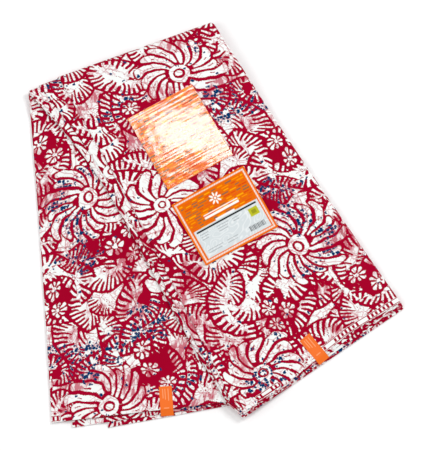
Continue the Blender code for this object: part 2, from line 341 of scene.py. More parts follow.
@dataclass(frozen=True)
class Bloom(Motif):
    """A flower of curved petals round a ring."""

    radius: float
    petals: int
    twist: float
    turn: float
    ground: float = 0.0036
    least_gap: float = 0.0011  # half the gap between petals at the middle
    more_gap: float = 0.0018  # what the tips of a large bloom add to it
    large_radius: float = 0.04
    tip_spread: Pair = (0.10, 0.06)  # two waves that make the petals' lengths uneven
    tip_roundness: float = 0.35
    petal_start: float = 0.27
    start_spread: float = 0.05
    veined_radius: float = 0.03  # larger blooms have a vein in each petal
    vein_beside: float = 0.06
    vein_half: float = 0.0009
    vein_start: float = 0.62
    vein_spread: float = 0.16
    vein_end: float = 0.76
    ring: float = 0.17
    ring_half: Pair = (0.035, 0.0006)  # share of the radius, and metres added to it
    hub: float = 0.075
    closed_middle: float = 0.3

    @property
    def extent(self) -> float:
        """Radius of the circle that holds the motif."""
        return 1.25 * self.radius + self.ground

    def distances(self, u: Array, v: Array) -> tuple[Array, Array]:
        """Find how far points lie inside the motif.

        Args:
            u: Metres across the cloth.
            v: Metres along the cloth.

        Returns:
            Metres inside its white parts, and metres inside the crimson ground that it lies on.
        """
        x, y = u - self.u, v - self.v
        r = np.hypot(x, y) + 1e-9
        share = r / self.radius
        lobe = (np.arctan2(y, x) + self.twist * share + self.turn) * self.petals / (2.0 * math.pi)
        number = np.floor(lobe)
        part = lobe - number - 0.5
        chord = 2.0 * math.pi * r / self.petals
        lean = 1.0 / np.sqrt(1.0 + (self.twist * share) ** 2)
        half_gap = self.least_gap + self.more_gap * np.clip(share, 0.0, 1.0) * min(1.0, self.radius / self.large_radius)
        across = (0.5 - np.abs(part)) * chord * lean - half_gap
        # The steps of phase only make each petal a little different from the next
        first, second = self.tip_spread
        uneven = 1.0 + first * np.sin(number * 2.4 + self.u * 90.0) + second * np.sin(number * 5.1)
        tip = self.radius * uneven - r - (2.0 * part) ** 2 * chord * self.tip_roundness
        base = r - self.radius * (self.petal_start + self.start_spread * np.sin(number * 1.7))
        outline = np.minimum(across, np.minimum(tip, base))
        petal = outline
        if self.radius > self.veined_radius:
            vein = np.abs(part + self.vein_beside) * chord * lean - self.vein_half
            from_start = share - self.vein_start - self.vein_spread * np.sin(number * 3.1)
            vein_length = np.minimum(from_start, self.vein_end - share) * self.radius
            petal = np.minimum(petal, np.maximum(vein, -vein_length))
        ring = self.radius * self.ring_half[0] + self.ring_half[1] - np.abs(r - self.radius * self.ring)
        hub = np.maximum(ring, self.radius * self.hub - r)
        return np.maximum(petal, hub), np.maximum(outline, self.closed_middle * self.radius - r) + self.ground


@dataclass(frozen=True)
class Fan(Motif):
    """A curved leaf with thick ribs that run inwards from its outer line."""

    arc: float
    width: float
    half_angle: float
    turn: float
    pitch: float = 0.0096
    rib_half: float = 0.0028
    rib_taper: float = 0.012
    line: float = 0.0040

    @property
    def extent(self) -> float:
        """Radius of the circle that holds the motif."""
        return self.arc + 0.004

    def distances(self, u: Array, v: Array) -> tuple[Array, Array]:
        """Find how far points lie inside the motif.

        Args:
            u: Metres across the cloth.
            v: Metres along the cloth.

        Returns:
            Metres inside its white parts, and metres inside the crimson ground that it lies on.
        """
        x, y = u - self.u, v - self.v
        angle = np.arctan2(y, x) - self.turn
        angle = (angle + math.pi) % (2.0 * math.pi) - math.pi
        depth = self.arc - np.hypot(x, y)
        wide = self.width * np.sqrt(np.clip(1.0 - (angle / self.half_angle) ** 2, 0.0, 1.0))
        along = angle * self.arc + 0.3 * depth
        number = np.floor(along / self.pitch)
        from_rib = np.abs(along / self.pitch - number - 0.5) * self.pitch
        length = wide * (0.70 + 0.15 * np.sin(number * 2.1 + self.turn))
        rib = np.minimum(self.rib_half - self.rib_taper * depth - from_rib, length - depth)
        inner = np.minimum(depth - self.line, wide - depth)
        return np.minimum(inner, -rib), np.minimum(depth, wide - depth + 0.0008)


@dataclass(frozen=True)
class Patch(Motif):
    """Plain crimson ground with a ragged outline."""

    radius: float

    @property
    def extent(self) -> float:
        """Radius of the circle that holds the motif."""
        return 1.6 * self.radius

    def distances(self, u: Array, v: Array) -> tuple[Array, Array]:
        """Find how far points lie inside the motif.

        Args:
            u: Metres across the cloth.
            v: Metres along the cloth.

        Returns:
            A distance far outside white parts, as it has none, and metres inside the patch.
        """
        ragged = Ripple(0.030, 0.005, 17).at(u, v) + Ripple(0.009, 0.0016, 18).at(u, v)
        body = self.radius - np.hypot(u - self.u, v - self.v) + ragged
        return np.full(u.shape, -0.006), body


@dataclass(frozen=True)
class FanBed:
    """Fans over the whole cloth, each lying over those before it."""

    across: float = 0.043
    along: float = 0.040
    start: Pair = (-0.04, -0.09)
    jitter: float = 0.010
    columns: int = 10
    rows: int = 19
    seed: int = 4

    def fans(self) -> list[Fan]:
        """Lay out the fans.

        Returns:
            The fans, in the order that they are laid.
        """
        draw = np.random.default_rng(self.seed)
        laid = []
        for place in draw.permutation(self.columns * self.rows):
            column, row = place % self.columns, place // self.columns
            u = (column + 0.5 * (row % 2)) * self.across + self.start[0] + draw.uniform(-self.jitter, self.jitter)
            v = row * self.along + self.start[1] + draw.uniform(-self.jitter, self.jitter)
            arc = draw.uniform(0.038, 0.060)
            turn = draw.uniform(0.0, 2.0 * math.pi)
            middle = arc - 0.016
            width, half_angle = draw.uniform(0.030, 0.040), draw.uniform(1.05, 1.60)
            laid.append(Fan(u - middle * math.cos(turn), v - middle * math.sin(turn), arc, width, half_angle, turn))
        return laid


# Columns: u, v, radius, petals, twist, turn
BLOOMS = (
    Bloom(0.212, 0.060, 0.066, 17, 0.85, 0.2),
    Bloom(0.075, 0.255, 0.060, 15, -0.80, 0.5),
    Bloom(0.225, 0.405, 0.068, 18, 0.90, 0.0),
    Bloom(0.070, 0.560, 0.058, 15, -0.85, 0.9),
)
DAISY_RADIUS = 0.0128
DAISY_PLACES = (
    (0.140, 0.112), (0.118, 0.088), (0.150, 0.142), (0.010, 0.170), (0.158, 0.300),
    (0.186, 0.318), (0.160, 0.334), (0.276, 0.235), (0.288, 0.264), (0.128, 0.475),
    (0.154, 0.492), (0.124, 0.505), (0.272, 0.500), (0.290, 0.526), (0.020, 0.350),
)  # fmt: skip
DAISIES = tuple(Bloom(u, v, DAISY_RADIUS, 8, 0.0, 0.3, 0.006) for u, v in DAISY_PLACES)
# Columns: u, v, radius
PATCHES = (
    Patch(0.132, 0.112, 0.026),
    Patch(0.166, 0.318, 0.026),
    Patch(0.135, 0.490, 0.027),
    Patch(0.280, 0.250, 0.020),
    Patch(0.280, 0.515, 0.020),
    Patch(0.140, 0.230, 0.011),
    Patch(0.215, 0.325, 0.010),
    Patch(0.015, 0.175, 0.018),
    Patch(0.020, 0.345, 0.018),
    Patch(0.290, 0.125, 0.010),
)


@dataclass(frozen=True)
class PrintDesign:
    """The whole print, which repeats over the flat cloth."""

    motifs: tuple[Motif, ...] = (*FanBed().fans(), *PATCHES, *BLOOMS, *DAISIES)
    start: Pair = (-0.02, -0.04)
    size: Pair = (0.36, 0.66)
    group_shift: Pair = (0.037, 0.083)  # from one group of plies to the next
    least: float = -0.02
    most: float = 0.006

    def turned(self, u: Array, v: Array) -> tuple[Array, Array]:
        """Return the coordinates of cloth that is turned end for end."""
        return STRIP_WIDTH - u, self.size[1] + self.start[1] - v

    def white(self, u: Array, v: Array) -> Array:
        """Find how far points lie inside the white parts of the print.

        Args:
            u: Metres across the cloth.
            v: Metres along the cloth.

        Returns:
            Metres inside the white parts, below zero in the crimson.
        """
        u = np.mod(u - self.start[0], self.size[0]) + self.start[0]
        v = np.mod(v - self.start[1], self.size[1]) + self.start[1]
        drawn_u = u + (Ripple(0.080, 0.0024, 3).at(u, v) + Ripple(0.016, 0.0005, 4).at(u, v))
        drawn_v = v + (Ripple(0.080, 0.0024, 5).at(u, v) + Ripple(0.016, 0.0005, 6).at(u, v))
        found = np.full(u.shape, self.most)
        for motif in self.motifs:
            near = np.hypot(drawn_u - motif.u, drawn_v - motif.v) < motif.extent
            white, body = motif.distances(drawn_u[near], drawn_v[near])
            found[near] = np.maximum(np.minimum(found[near], -body), white)
        return found


@dataclass(frozen=True)
class Selvedge:
    """White bands between thin lines along the end of the cloth, wide where they hold plain bars.

    Marked and bare bands are given as metres across the strip, from start to end.
    """

    marked: tuple[Pair, ...]
    bare: tuple[Pair, ...] = ()
    inset: float = 0.0010
    width: float = 0.0100
    bare_width: float = 0.0040

    def depth(self, across: Array, from_end: Array) -> Array:
        """Find how far points lie inside the bands.

        Args:
            across: Metres across the strip.
            from_end: Metres inwards from the ply's end.

        Returns:
            Metres inside a band, below zero outside them all.
        """
        inner = from_end - self.inset
        found = np.full(across.shape, -0.02)
        for width, parts in ((self.width, self.marked), (self.bare_width, self.bare)):
            for start, end in parts:
                inside = np.minimum(np.minimum(inner, width - inner), np.minimum(across - start, end - across))
                found = np.maximum(found, inside)
        return found

    def middle(self, from_end: Array) -> Array:
        """Return metres past the wide band's middle line."""
        return from_end - self.inset - self.width / 2


LOWER_BAND = Selvedge(((-1.0, 0.015),))
UPPER_BAND = Selvedge(((-1.0, 0.010), (0.034, 0.080), (0.152, 1.0)), ((0.070, 0.160),))


# Materials

EDGE_NAME = "print_edge"
BAND_NAME = "band_depth"
INK_NAME = "ink"
CLOTH_MAP = "cloth"
BAND_MAP = "band"


class Desk:
    """Lays out the nodes of one material."""

    def __init__(self, name: str) -> None:
        """Start a material with only its shader and output.

        Args:
            name: Name of the material.
        """
        self.material = bpy.data.materials.new(name)
        self.material.use_nodes = True
        self.tree = self.material.node_tree
        self.shader = self.tree.nodes["Principled BSDF"]

    def node(self, kind: str, **settings: object) -> bpy.types.Node:
        """Add a node.

        Args:
            kind: The node's type.
            **settings: The node's properties.

        Returns:
            The node.
        """
        made = self.tree.nodes.new(kind)
        for name, value in settings.items():
            setattr(made, name, value)
        return made

    def put(self, node: bpy.types.Node, values: dict[str | int, object]) -> bpy.types.Node:
        """Fill a node's inputs.

        Args:
            node: The node.
            values: A socket or a plain value for each input.

        Returns:
            The same node.
        """
        for key, value in values.items():
            if isinstance(value, Socket):
                self.tree.links.new(value, node.inputs[key])
            else:
                node.inputs[key].default_value = value
        return node

    def finish(self, values: dict[str, object]) -> bpy.types.Material:
        """Fill the shader's inputs and return the material."""
        self.put(self.shader, values)
        return self.material

    def attribute(self, name: str, output: str = "Fac") -> Socket:
        """Return an attribute of the mesh."""
        return self.node("ShaderNodeAttribute", attribute_name=name).outputs[output]

    def uv(self, name: str) -> Socket:
        """Return the coordinates of a UV map."""
        return self.node("ShaderNodeUVMap", uv_map=name).outputs[0]

    def parts(self, vector: Socket) -> bpy.types.NodeOutputs:
        """Return the three parts of a vector."""
        return self.put(self.node("ShaderNodeSeparateXYZ"), {0: vector}).outputs

    def math(self, operation: str, one: object, two: object = 0.0) -> Socket:
        """Return the result of a Math node."""
        return self.put(self.node("ShaderNodeMath", operation=operation), {0: one, 1: two}).outputs[0]

    def times(self, one: object, two: object) -> Socket:
        """Return a product."""
        return self.math("MULTIPLY", one, two)

    def plus(self, one: object, two: object) -> Socket:
        """Return a sum."""
        return self.math("ADD", one, two)

    def minus(self, one: object, two: object) -> Socket:
        """Return a difference."""
        return self.math("SUBTRACT", one, two)

    def rest(self, share: object) -> Socket:
        """Return what a share leaves of one."""
        return self.minus(1.0, share)

    def away(self, value: object, middle: float) -> Socket:
        """Return how far a value is from a middle one."""
        return self.math("ABSOLUTE", self.minus(value, middle))

    def below(self, value: object, limit: object) -> Socket:
        """Return 1 where a value is under a limit, and 0 elsewhere."""
        return self.math("LESS_THAN", value, limit)

    def ease(self, value: object, low: float, high: float) -> Socket:
        """Return 0 to 1 as the value goes from low to high."""
        made = self.node("ShaderNodeMapRange", clamp=True, interpolation_type="SMOOTHSTEP")
        return self.put(made, {"Value": value, "From Min": low, "From Max": high}).outputs["Result"]

    def mix(self, share: object, one: object, two: object) -> Socket:
        """Return a mix of two colours."""
        made = self.node("ShaderNodeMix", data_type="RGBA", clamp_factor=True)
        return self.put(made, {0: share, 6: one, 7: two}).outputs[2]

    def noise(self, where: object, scale: float, detail: float, output: str = "Fac") -> Socket:
        """Return noise of 0 to 1 at a scale in cells a metre."""
        made = self.node("ShaderNodeTexNoise", noise_dimensions="2D")
        return self.put(made, {"Vector": where, "Scale": scale, "Detail": detail}).outputs[output]

    def bent(self, where: Socket, scale: float, detail: float, share: float) -> Socket:
        """Return coordinates that noise bends, by a share of the noise."""
        made = self.node("ShaderNodeMix", data_type="VECTOR")
        return self.put(made, {0: share, 4: where, 5: self.noise(where, scale, detail, "Color")}).outputs[1]

    def stretch(self, where: object, along: float, turn: float) -> Socket:
        """Return coordinates that are longer by a factor along a direction."""
        made = self.node("ShaderNodeMapping", vector_type="TEXTURE")
        return self.put(made, {0: where, "Scale": (along, 1.0, 1.0), "Rotation": (0.0, 0.0, turn)}).outputs[0]

    def uneven(self, where: object, scale: float, middle: float, spread: float) -> Socket:
        """Return a value that noise spreads round a middle one."""
        return self.plus(self.times(self.noise(where, scale, 3.0), spread), middle - spread / 2)

    def bump(self, height: object, strength: float, distance: float, normal: Socket | None = None) -> Socket:
        """Bump a normal.

        Args:
            height: Height of the relief.
            strength: Share of the relief that shows.
            distance: Metres for a height of one.
            normal: The normal to bump, if not the mesh's own.

        Returns:
            The new normal.
        """
        values = {"Height": height, "Strength": strength, "Distance": distance}
        if normal is not None:
            values["Normal"] = normal
        return self.put(self.node("ShaderNodeBump"), values).outputs[0]


@dataclass(frozen=True)
class Crackle:
    """Fine veins of dye, where the wax resist cracked in some zones of the cloth."""

    colour: Colour
    scale: float
    half: float
    zone_scale: float
    zone_start: float = 0.42
    strength: float = 0.52
    zone_edge: float = 0.12

    def veins(self, desk: Desk, cloth: Socket) -> Socket:
        """Find where the veins lie.

        Args:
            desk: The material's nodes.
            cloth: Flat coordinates of the cloth.

        Returns:
            How much of the veins' colour shows.
        """
        cells = desk.node("ShaderNodeTexVoronoi", voronoi_dimensions="2D", feature="DISTANCE_TO_EDGE")
        desk.put(cells, {"Vector": desk.bent(cloth, 0.7 * self.scale, 3.0, 0.012), "Scale": self.scale})
        vein = desk.rest(desk.ease(cells.outputs["Distance"], self.half, 2.4 * self.half))
        zone = desk.ease(desk.noise(cloth, self.zone_scale, 2.0), self.zone_start, self.zone_start + self.zone_edge)
        return desk.times(vein, desk.times(zone, self.strength))


CRACKLES = (
    Crackle(VEIN_PINK, 118.0, 0.055, 26.0),
    Crackle(WASH_PINK, 42.0, 0.022, 14.0),
    Crackle(CRIMSON, 62.0, 0.032, 9.0, 0.58, 0.60),
)


@dataclass(frozen=True)
class Spots:
    """Indigo spots, most of them in clusters and on the white, and fewer far along the cloth."""

    scale: float = 175.0
    cluster_scale: float = 10.0
    cluster_edge: Pair = (0.565, 0.625)
    fewer_from: Pair = (0.22, 0.48)
    fewer: float = 0.045
    chance_alone: float = 0.04
    chance_in_cluster: float = 0.86
    chance_on_crimson: float = 0.20
    least_size: float = 0.23
    size_spread: float = 0.34
    softness: float = 0.05

    def share(self, desk: Desk, cloth: Socket, white: Socket) -> Socket:
        """Find where the spots lie.

        Args:
            desk: The material's nodes.
            cloth: Flat coordinates of the cloth.
            white: Where the cloth is white.

        Returns:
            How much of the spots' colour shows.
        """
        cells = desk.node("ShaderNodeTexVoronoi", voronoi_dimensions="2D", feature="F1")
        desk.put(cells, {"Vector": desk.bent(cloth, 260.0, 2.0, 0.0045), "Scale": self.scale})
        chance = desk.put(desk.node("ShaderNodeSeparateColor"), {0: cells.outputs["Color"]}).outputs
        fewer = desk.times(desk.ease(desk.parts(cloth)[1], *self.fewer_from), self.fewer)
        level = desk.minus(desk.noise(cloth, self.cluster_scale, 3.0), fewer)
        cluster = desk.ease(level, *self.cluster_edge)
        chosen = desk.below(chance[0], desk.plus(desk.times(cluster, self.chance_in_cluster), self.chance_alone))
        spread = desk.times(desk.times(chance[1], chance[1]), self.size_spread)
        size = desk.plus(desk.plus(spread, self.least_size), desk.times(cluster, 0.07))
        inside = desk.minus(size, cells.outputs["Distance"])
        spot = desk.times(desk.ease(inside, -self.softness, self.softness), chosen)
        on_white = desk.times(white, 1.0 - self.chance_on_crimson)
        return desk.times(spot, desk.below(chance[2], desk.plus(on_white, self.chance_on_crimson)))


@dataclass(frozen=True)
class SelvedgeBars:
    """Thin lines and rows of plain bars, in the print's colour on the selvedge's white bands."""

    line_inset: float = 0.0011
    line_edge: Pair = (0.0004, 0.0008)
    bar_pitch: float = 0.0068
    bar_half_share: float = 0.27
    bar_half_height: float = 0.0034
    bar_unevenness: float = 0.0006
    bar_softness: float = 0.0004
    blank_middle: float = 0.116
    blank_half: float = 0.038
    row_pitch: float = 9.0
    bars_in_row: float = 7.0
    band_softness: float = 0.0002

    def lay(self, desk: Desk, white: Socket) -> tuple[Socket, Socket]:
        """Lay the bands over the print.

        Args:
            desk: The material's nodes.
            white: Where the print is white.

        Returns:
            Where the cloth is white, and where the bands lie.
        """
        depth = desk.attribute(BAND_NAME)
        place = desk.parts(desk.uv(BAND_MAP))
        across, middle = place[0], place[1]
        line = desk.rest(desk.ease(desk.away(depth, self.line_inset), *self.line_edge))
        count = desk.math("DIVIDE", across, self.bar_pitch)
        number = desk.math("FLOOR", count)
        beside = desk.away(desk.minus(count, number), 0.5)
        uneven = desk.times(desk.math("SINE", desk.times(number, 2.3)), self.bar_unevenness)
        above = desk.minus(desk.plus(uneven, self.bar_half_height), desk.math("ABSOLUTE", middle))
        bar = desk.times(desk.ease(above, 0.0, self.bar_softness), desk.below(beside, self.bar_half_share))
        bar = desk.times(bar, desk.rest(desk.below(desk.away(across, self.blank_middle), self.blank_half)))
        bar = desk.times(bar, desk.below(desk.math("MODULO", number, self.row_pitch), self.bars_in_row))
        blank = desk.rest(desk.math("MAXIMUM", line, bar))
        inside = desk.ease(depth, -self.band_softness, self.band_softness)
        return desk.plus(desk.times(white, desk.rest(inside)), desk.times(blank, inside)), inside


@dataclass(frozen=True)
class PrintedCotton:
    """Crisp wax-resist cotton: crimson and white, with veins, pink washes and indigo spots."""

    roughness: float = 0.85
    roughness_spread: float = 0.16
    sheen: float = 0.01
    specular: float = 0.03
    edge_softness: float = 0.00022
    edge_raggedness: float = 0.0018
    ragged_scale: float = 520.0
    dye_scale: float = 9.0
    wash_scale: float = 15.0
    wash_edge: Pair = (0.55, 0.63)
    streak_edge: Pair = (0.44, 0.56)
    wash_strength: float = 0.88
    streak_length: float = 3.0
    streak_turn: float = 1.9
    streak_scale: float = 140.0
    streak_shares: Pair = (0.20, 0.75)  # of the wash outside the streaks, and more inside them
    # How much of the painted shade shows on the upright sides at their darkest
    thread_end_and_shade_strength: float = 0.6
    upright_edge: Pair = (0.15, 0.45)  # upright share of a face's direction, from full to no painted shade on the cloth's upright sides
    rumple_scale: float = 34.0
    rumple_strength: float = 0.35
    rumple_height: float = 0.0016
    thread_pitch: float = 0.00055
    thread_unevenness: float = 0.4
    weave_strength: float = 0.25
    weave_height: float = 0.0001
    wave_factor: float = 0.314  # a wave texture's scale times its wavelength in metres
    bars: SelvedgeBars = SelvedgeBars()
    spots: Spots = Spots()

    def material(self) -> bpy.types.Material:
        """Make the material.

        Returns:
            The material.
        """
        desk = Desk("printed_cotton")
        cloth = desk.uv(CLOTH_MAP)
        ragged = desk.times(desk.minus(desk.noise(cloth, self.ragged_scale, 2.0), 0.5), self.edge_raggedness)
        edge = desk.plus(desk.attribute(EDGE_NAME), ragged)
        white, band = self.bars.lay(desk, desk.ease(edge, -self.edge_softness, self.edge_softness))
        crimson = desk.mix(desk.noise(cloth, self.dye_scale, 3.0), CRIMSON, BRIGHT_CRIMSON)
        colour = desk.mix(white, crimson, desk.mix(band, self.washed(desk, cloth), CLOTH_WHITE))
        spots = desk.times(self.spots.share(desk, cloth, white), desk.rest(band))
        colour = desk.mix(spots, colour, INDIGO)
        # Painted shade: upright faces, at the plies' sides and folded edges, are darkened towards a deep crimson that
        # also stands for cut thread ends
        upright = desk.math("ABSOLUTE", desk.parts(desk.node("ShaderNodeNewGeometry").outputs["True Normal"])[2])
        side = desk.rest(desk.ease(upright, *self.upright_edge))
        rumple = desk.noise(cloth, self.rumple_scale, 4.0)
        rumpled = desk.bump(rumple, self.rumple_strength, self.rumple_height)
        return desk.finish(
            {
                "Base Color": desk.mix(desk.times(side, self.thread_end_and_shade_strength), colour, THREAD_END_AND_SIDE_SHADE),
                "Roughness": desk.uneven(cloth, 60.0, self.roughness, self.roughness_spread),
                "Sheen Weight": self.sheen,
                "Specular IOR Level": self.specular,
                "Normal": desk.bump(self.weave(desk, cloth), self.weave_strength, self.weave_height, rumpled),
            }
        )

    def washed(self, desk: Desk, cloth: Socket) -> Socket:
        """Colour the white cloth, with its streaked washes and veins of dye.

        Args:
            desk: The material's nodes.
            cloth: Flat coordinates of the cloth.

        Returns:
            The colour.
        """
        wash = desk.ease(desk.noise(cloth, self.wash_scale, 3.0), *self.wash_edge)
        run = desk.stretch(cloth, self.streak_length, self.streak_turn)
        streak = desk.ease(desk.noise(run, self.streak_scale, 4.0), *self.streak_edge)
        outside, more_inside = self.streak_shares
        wash = desk.times(wash, desk.plus(desk.times(streak, more_inside), outside))
        colour = desk.mix(desk.times(wash, self.wash_strength), CLOTH_WHITE, WASH_PINK)
        for crackle in CRACKLES:
            colour = desk.mix(crackle.veins(desk, cloth), colour, crackle.colour)
        return colour

    def weave(self, desk: Desk, cloth: Socket) -> Socket:
        """Find the height of a plain weave.

        Args:
            desk: The material's nodes.
            cloth: Flat coordinates of the cloth.

        Returns:
            The height.
        """
        heights = []
        for direction in ("X", "Y"):
            threads = desk.node("ShaderNodeTexWave", bands_direction=direction, wave_profile="SIN")
            scale = self.wave_factor / self.thread_pitch
            desk.put(threads, {"Vector": cloth, "Scale": scale, "Distortion": self.thread_unevenness})
            heights.append(threads.outputs["Fac"])
        return desk.plus(*heights)


@dataclass(frozen=True)
class LabelStock:
    """Printed paper or foil whose ink is in the mesh's own colours."""

    name: str
    roughness: float
    specular: float
    rumple: float
    coat: float = 0.0
    coat_roughness: float = 0.1
    streaks: float = 0.0
    streak_turn: float = 0.0
    roughness_spread: float = 0.14

    def material(self) -> bpy.types.Material:
        """Make the material.

        Returns:
            The material.
        """
        desk = Desk(self.name)
        place = desk.node("ShaderNodeTexCoord").outputs["Object"]
        normal = desk.bump(desk.noise(place, 30.0, 2.0), 1.0, self.rumple)
        if self.streaks:
            run = desk.stretch(place, 14.0, self.streak_turn)
            normal = desk.bump(desk.noise(run, 250.0, 1.0), 1.0, self.streaks, normal)
        return desk.finish(
            {
                "Base Color": desk.attribute(INK_NAME, "Color"),
                "Roughness": desk.uneven(place, 90.0, self.roughness, self.roughness_spread),
                "Specular IOR Level": self.specular,
                "Coat Weight": self.coat,
                "Coat Roughness": self.coat_roughness,
                "Normal": normal,
                "Coat Normal": normal,
            }
        )


LABEL_TURN = math.radians(29.4)
FOIL_STOCK = LabelStock("orange_foil", 0.50, 0.05, 0.0004, 1.0, 0.09, 0.00010, LABEL_TURN)
CARD_STOCK = LabelStock("orange_card", 0.60, 0.04, 0.0001)
TAB_STOCK = LabelStock("orange_tab", 0.48, 0.35, 0.0001)


# Meshes

SHARP_EDGE = math.radians(50)


def new_mesh(name: str, points: Array, faces: list[list[int]]) -> bpy.types.Mesh:
    """Make a closed mesh.

    Args:
        name: Name of the mesh.
        points: Its points.
        faces: Its faces, as lists of point numbers.

    Returns:
        The mesh, with its faces turned outwards.
    """
    mesh = bpy.data.meshes.new(name)
    mesh.from_pydata(points.tolist(), [], faces)
    mesh.update()
    mesh.calc_loop_triangles()
    corners = np.array([triangle.vertices for triangle in mesh.loop_triangles])
    if np.linalg.det(points[corners]).sum() < 0:
        mesh.flip_normals()
    return mesh


def add_piece(piece: Piece, mesh: bpy.types.Mesh, material: bpy.types.Material) -> bpy.types.Object:
    """Put a piece in the scene, on the one body and in place of its solid.

    Args:
        piece: Which piece it is.
        mesh: Its mesh, which is shaded smooth but for its sharp edges.
        material: Its material.

    Returns:
        The piece.
    """
    name, node, slot = piece.value
    made = bpy.data.objects.new(name, mesh)
    bpy.context.scene.collection.objects.link(made)
    mesh.materials.append(material)
    mesh.shade_smooth()
    mesh.set_sharp_from_angle(angle=SHARP_EDGE)
    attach(made, BODY)
    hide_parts(node)
    LOG.info("%s: %d faces", name, len(mesh.polygons))
    return made


@dataclass(frozen=True)
class Crease:
    """A pressed line in the cloth, as a soft trough, or as a ridge where its depth is below zero."""

    start: Pair
    end: Pair
    depth: float
    width: float


@dataclass(frozen=True)
class Slack:
    """The pressed creases and slow waves that lower a stretch's top."""

    seed: int
    creases: tuple[Crease, ...]
    wavelength: float = 0.11
    wave_height: float = 0.00035
    drop: float = 0.0006

    def height(self, across: Array, along: Array) -> Array:
        """Find how far the cloth is moved.

        Args:
            across: Metres across the strip.
            along: Metres along the strip.

        Returns:
            Heights, mostly below zero.
        """
        total = Ripple(self.wavelength, self.wave_height, self.seed).at(across, along) - self.drop
        for crease in self.creases:
            run = np.subtract(crease.end, crease.start)
            x, y = across - crease.start[0], along - crease.start[1]
            part = np.clip((x * run[0] + y * run[1]) / np.linalg.norm(run) ** 2, 0.0, 1.0)
            away = np.hypot(x - part * run[0], y - part * run[1])
            fade = np.sin(math.pi * np.clip(part, 0.02, 0.98)) ** 0.5
            total -= crease.depth * np.exp(-((away / crease.width) ** 2)) * fade
        return total


# Columns: start, end, depth, width
UPPER_SLACK = Slack(
    31,
    (
        Crease((0.150, 0.000), (0.158, 0.600), 0.0007, 0.004),
        Crease((0.000, 0.300), (0.303, 0.292), -0.0006, 0.004),
        Crease((0.020, 0.050), (0.120, 0.018), 0.0008, 0.007),
        Crease((0.200, 0.450), (0.303, 0.500), 0.0006, 0.010),
    ),
)
LOWER_SLACK = Slack(
    32,
    (
        Crease((0.140, 0.000), (0.150, 0.600), 0.0007, 0.004),
        Crease((0.000, 0.290), (0.303, 0.300), 0.0006, 0.004),
        Crease((0.000, 0.180), (0.090, 0.120), 0.0008, 0.008),
        Crease((0.000, 0.480), (0.110, 0.440), 0.0006, 0.010),
    ),
)


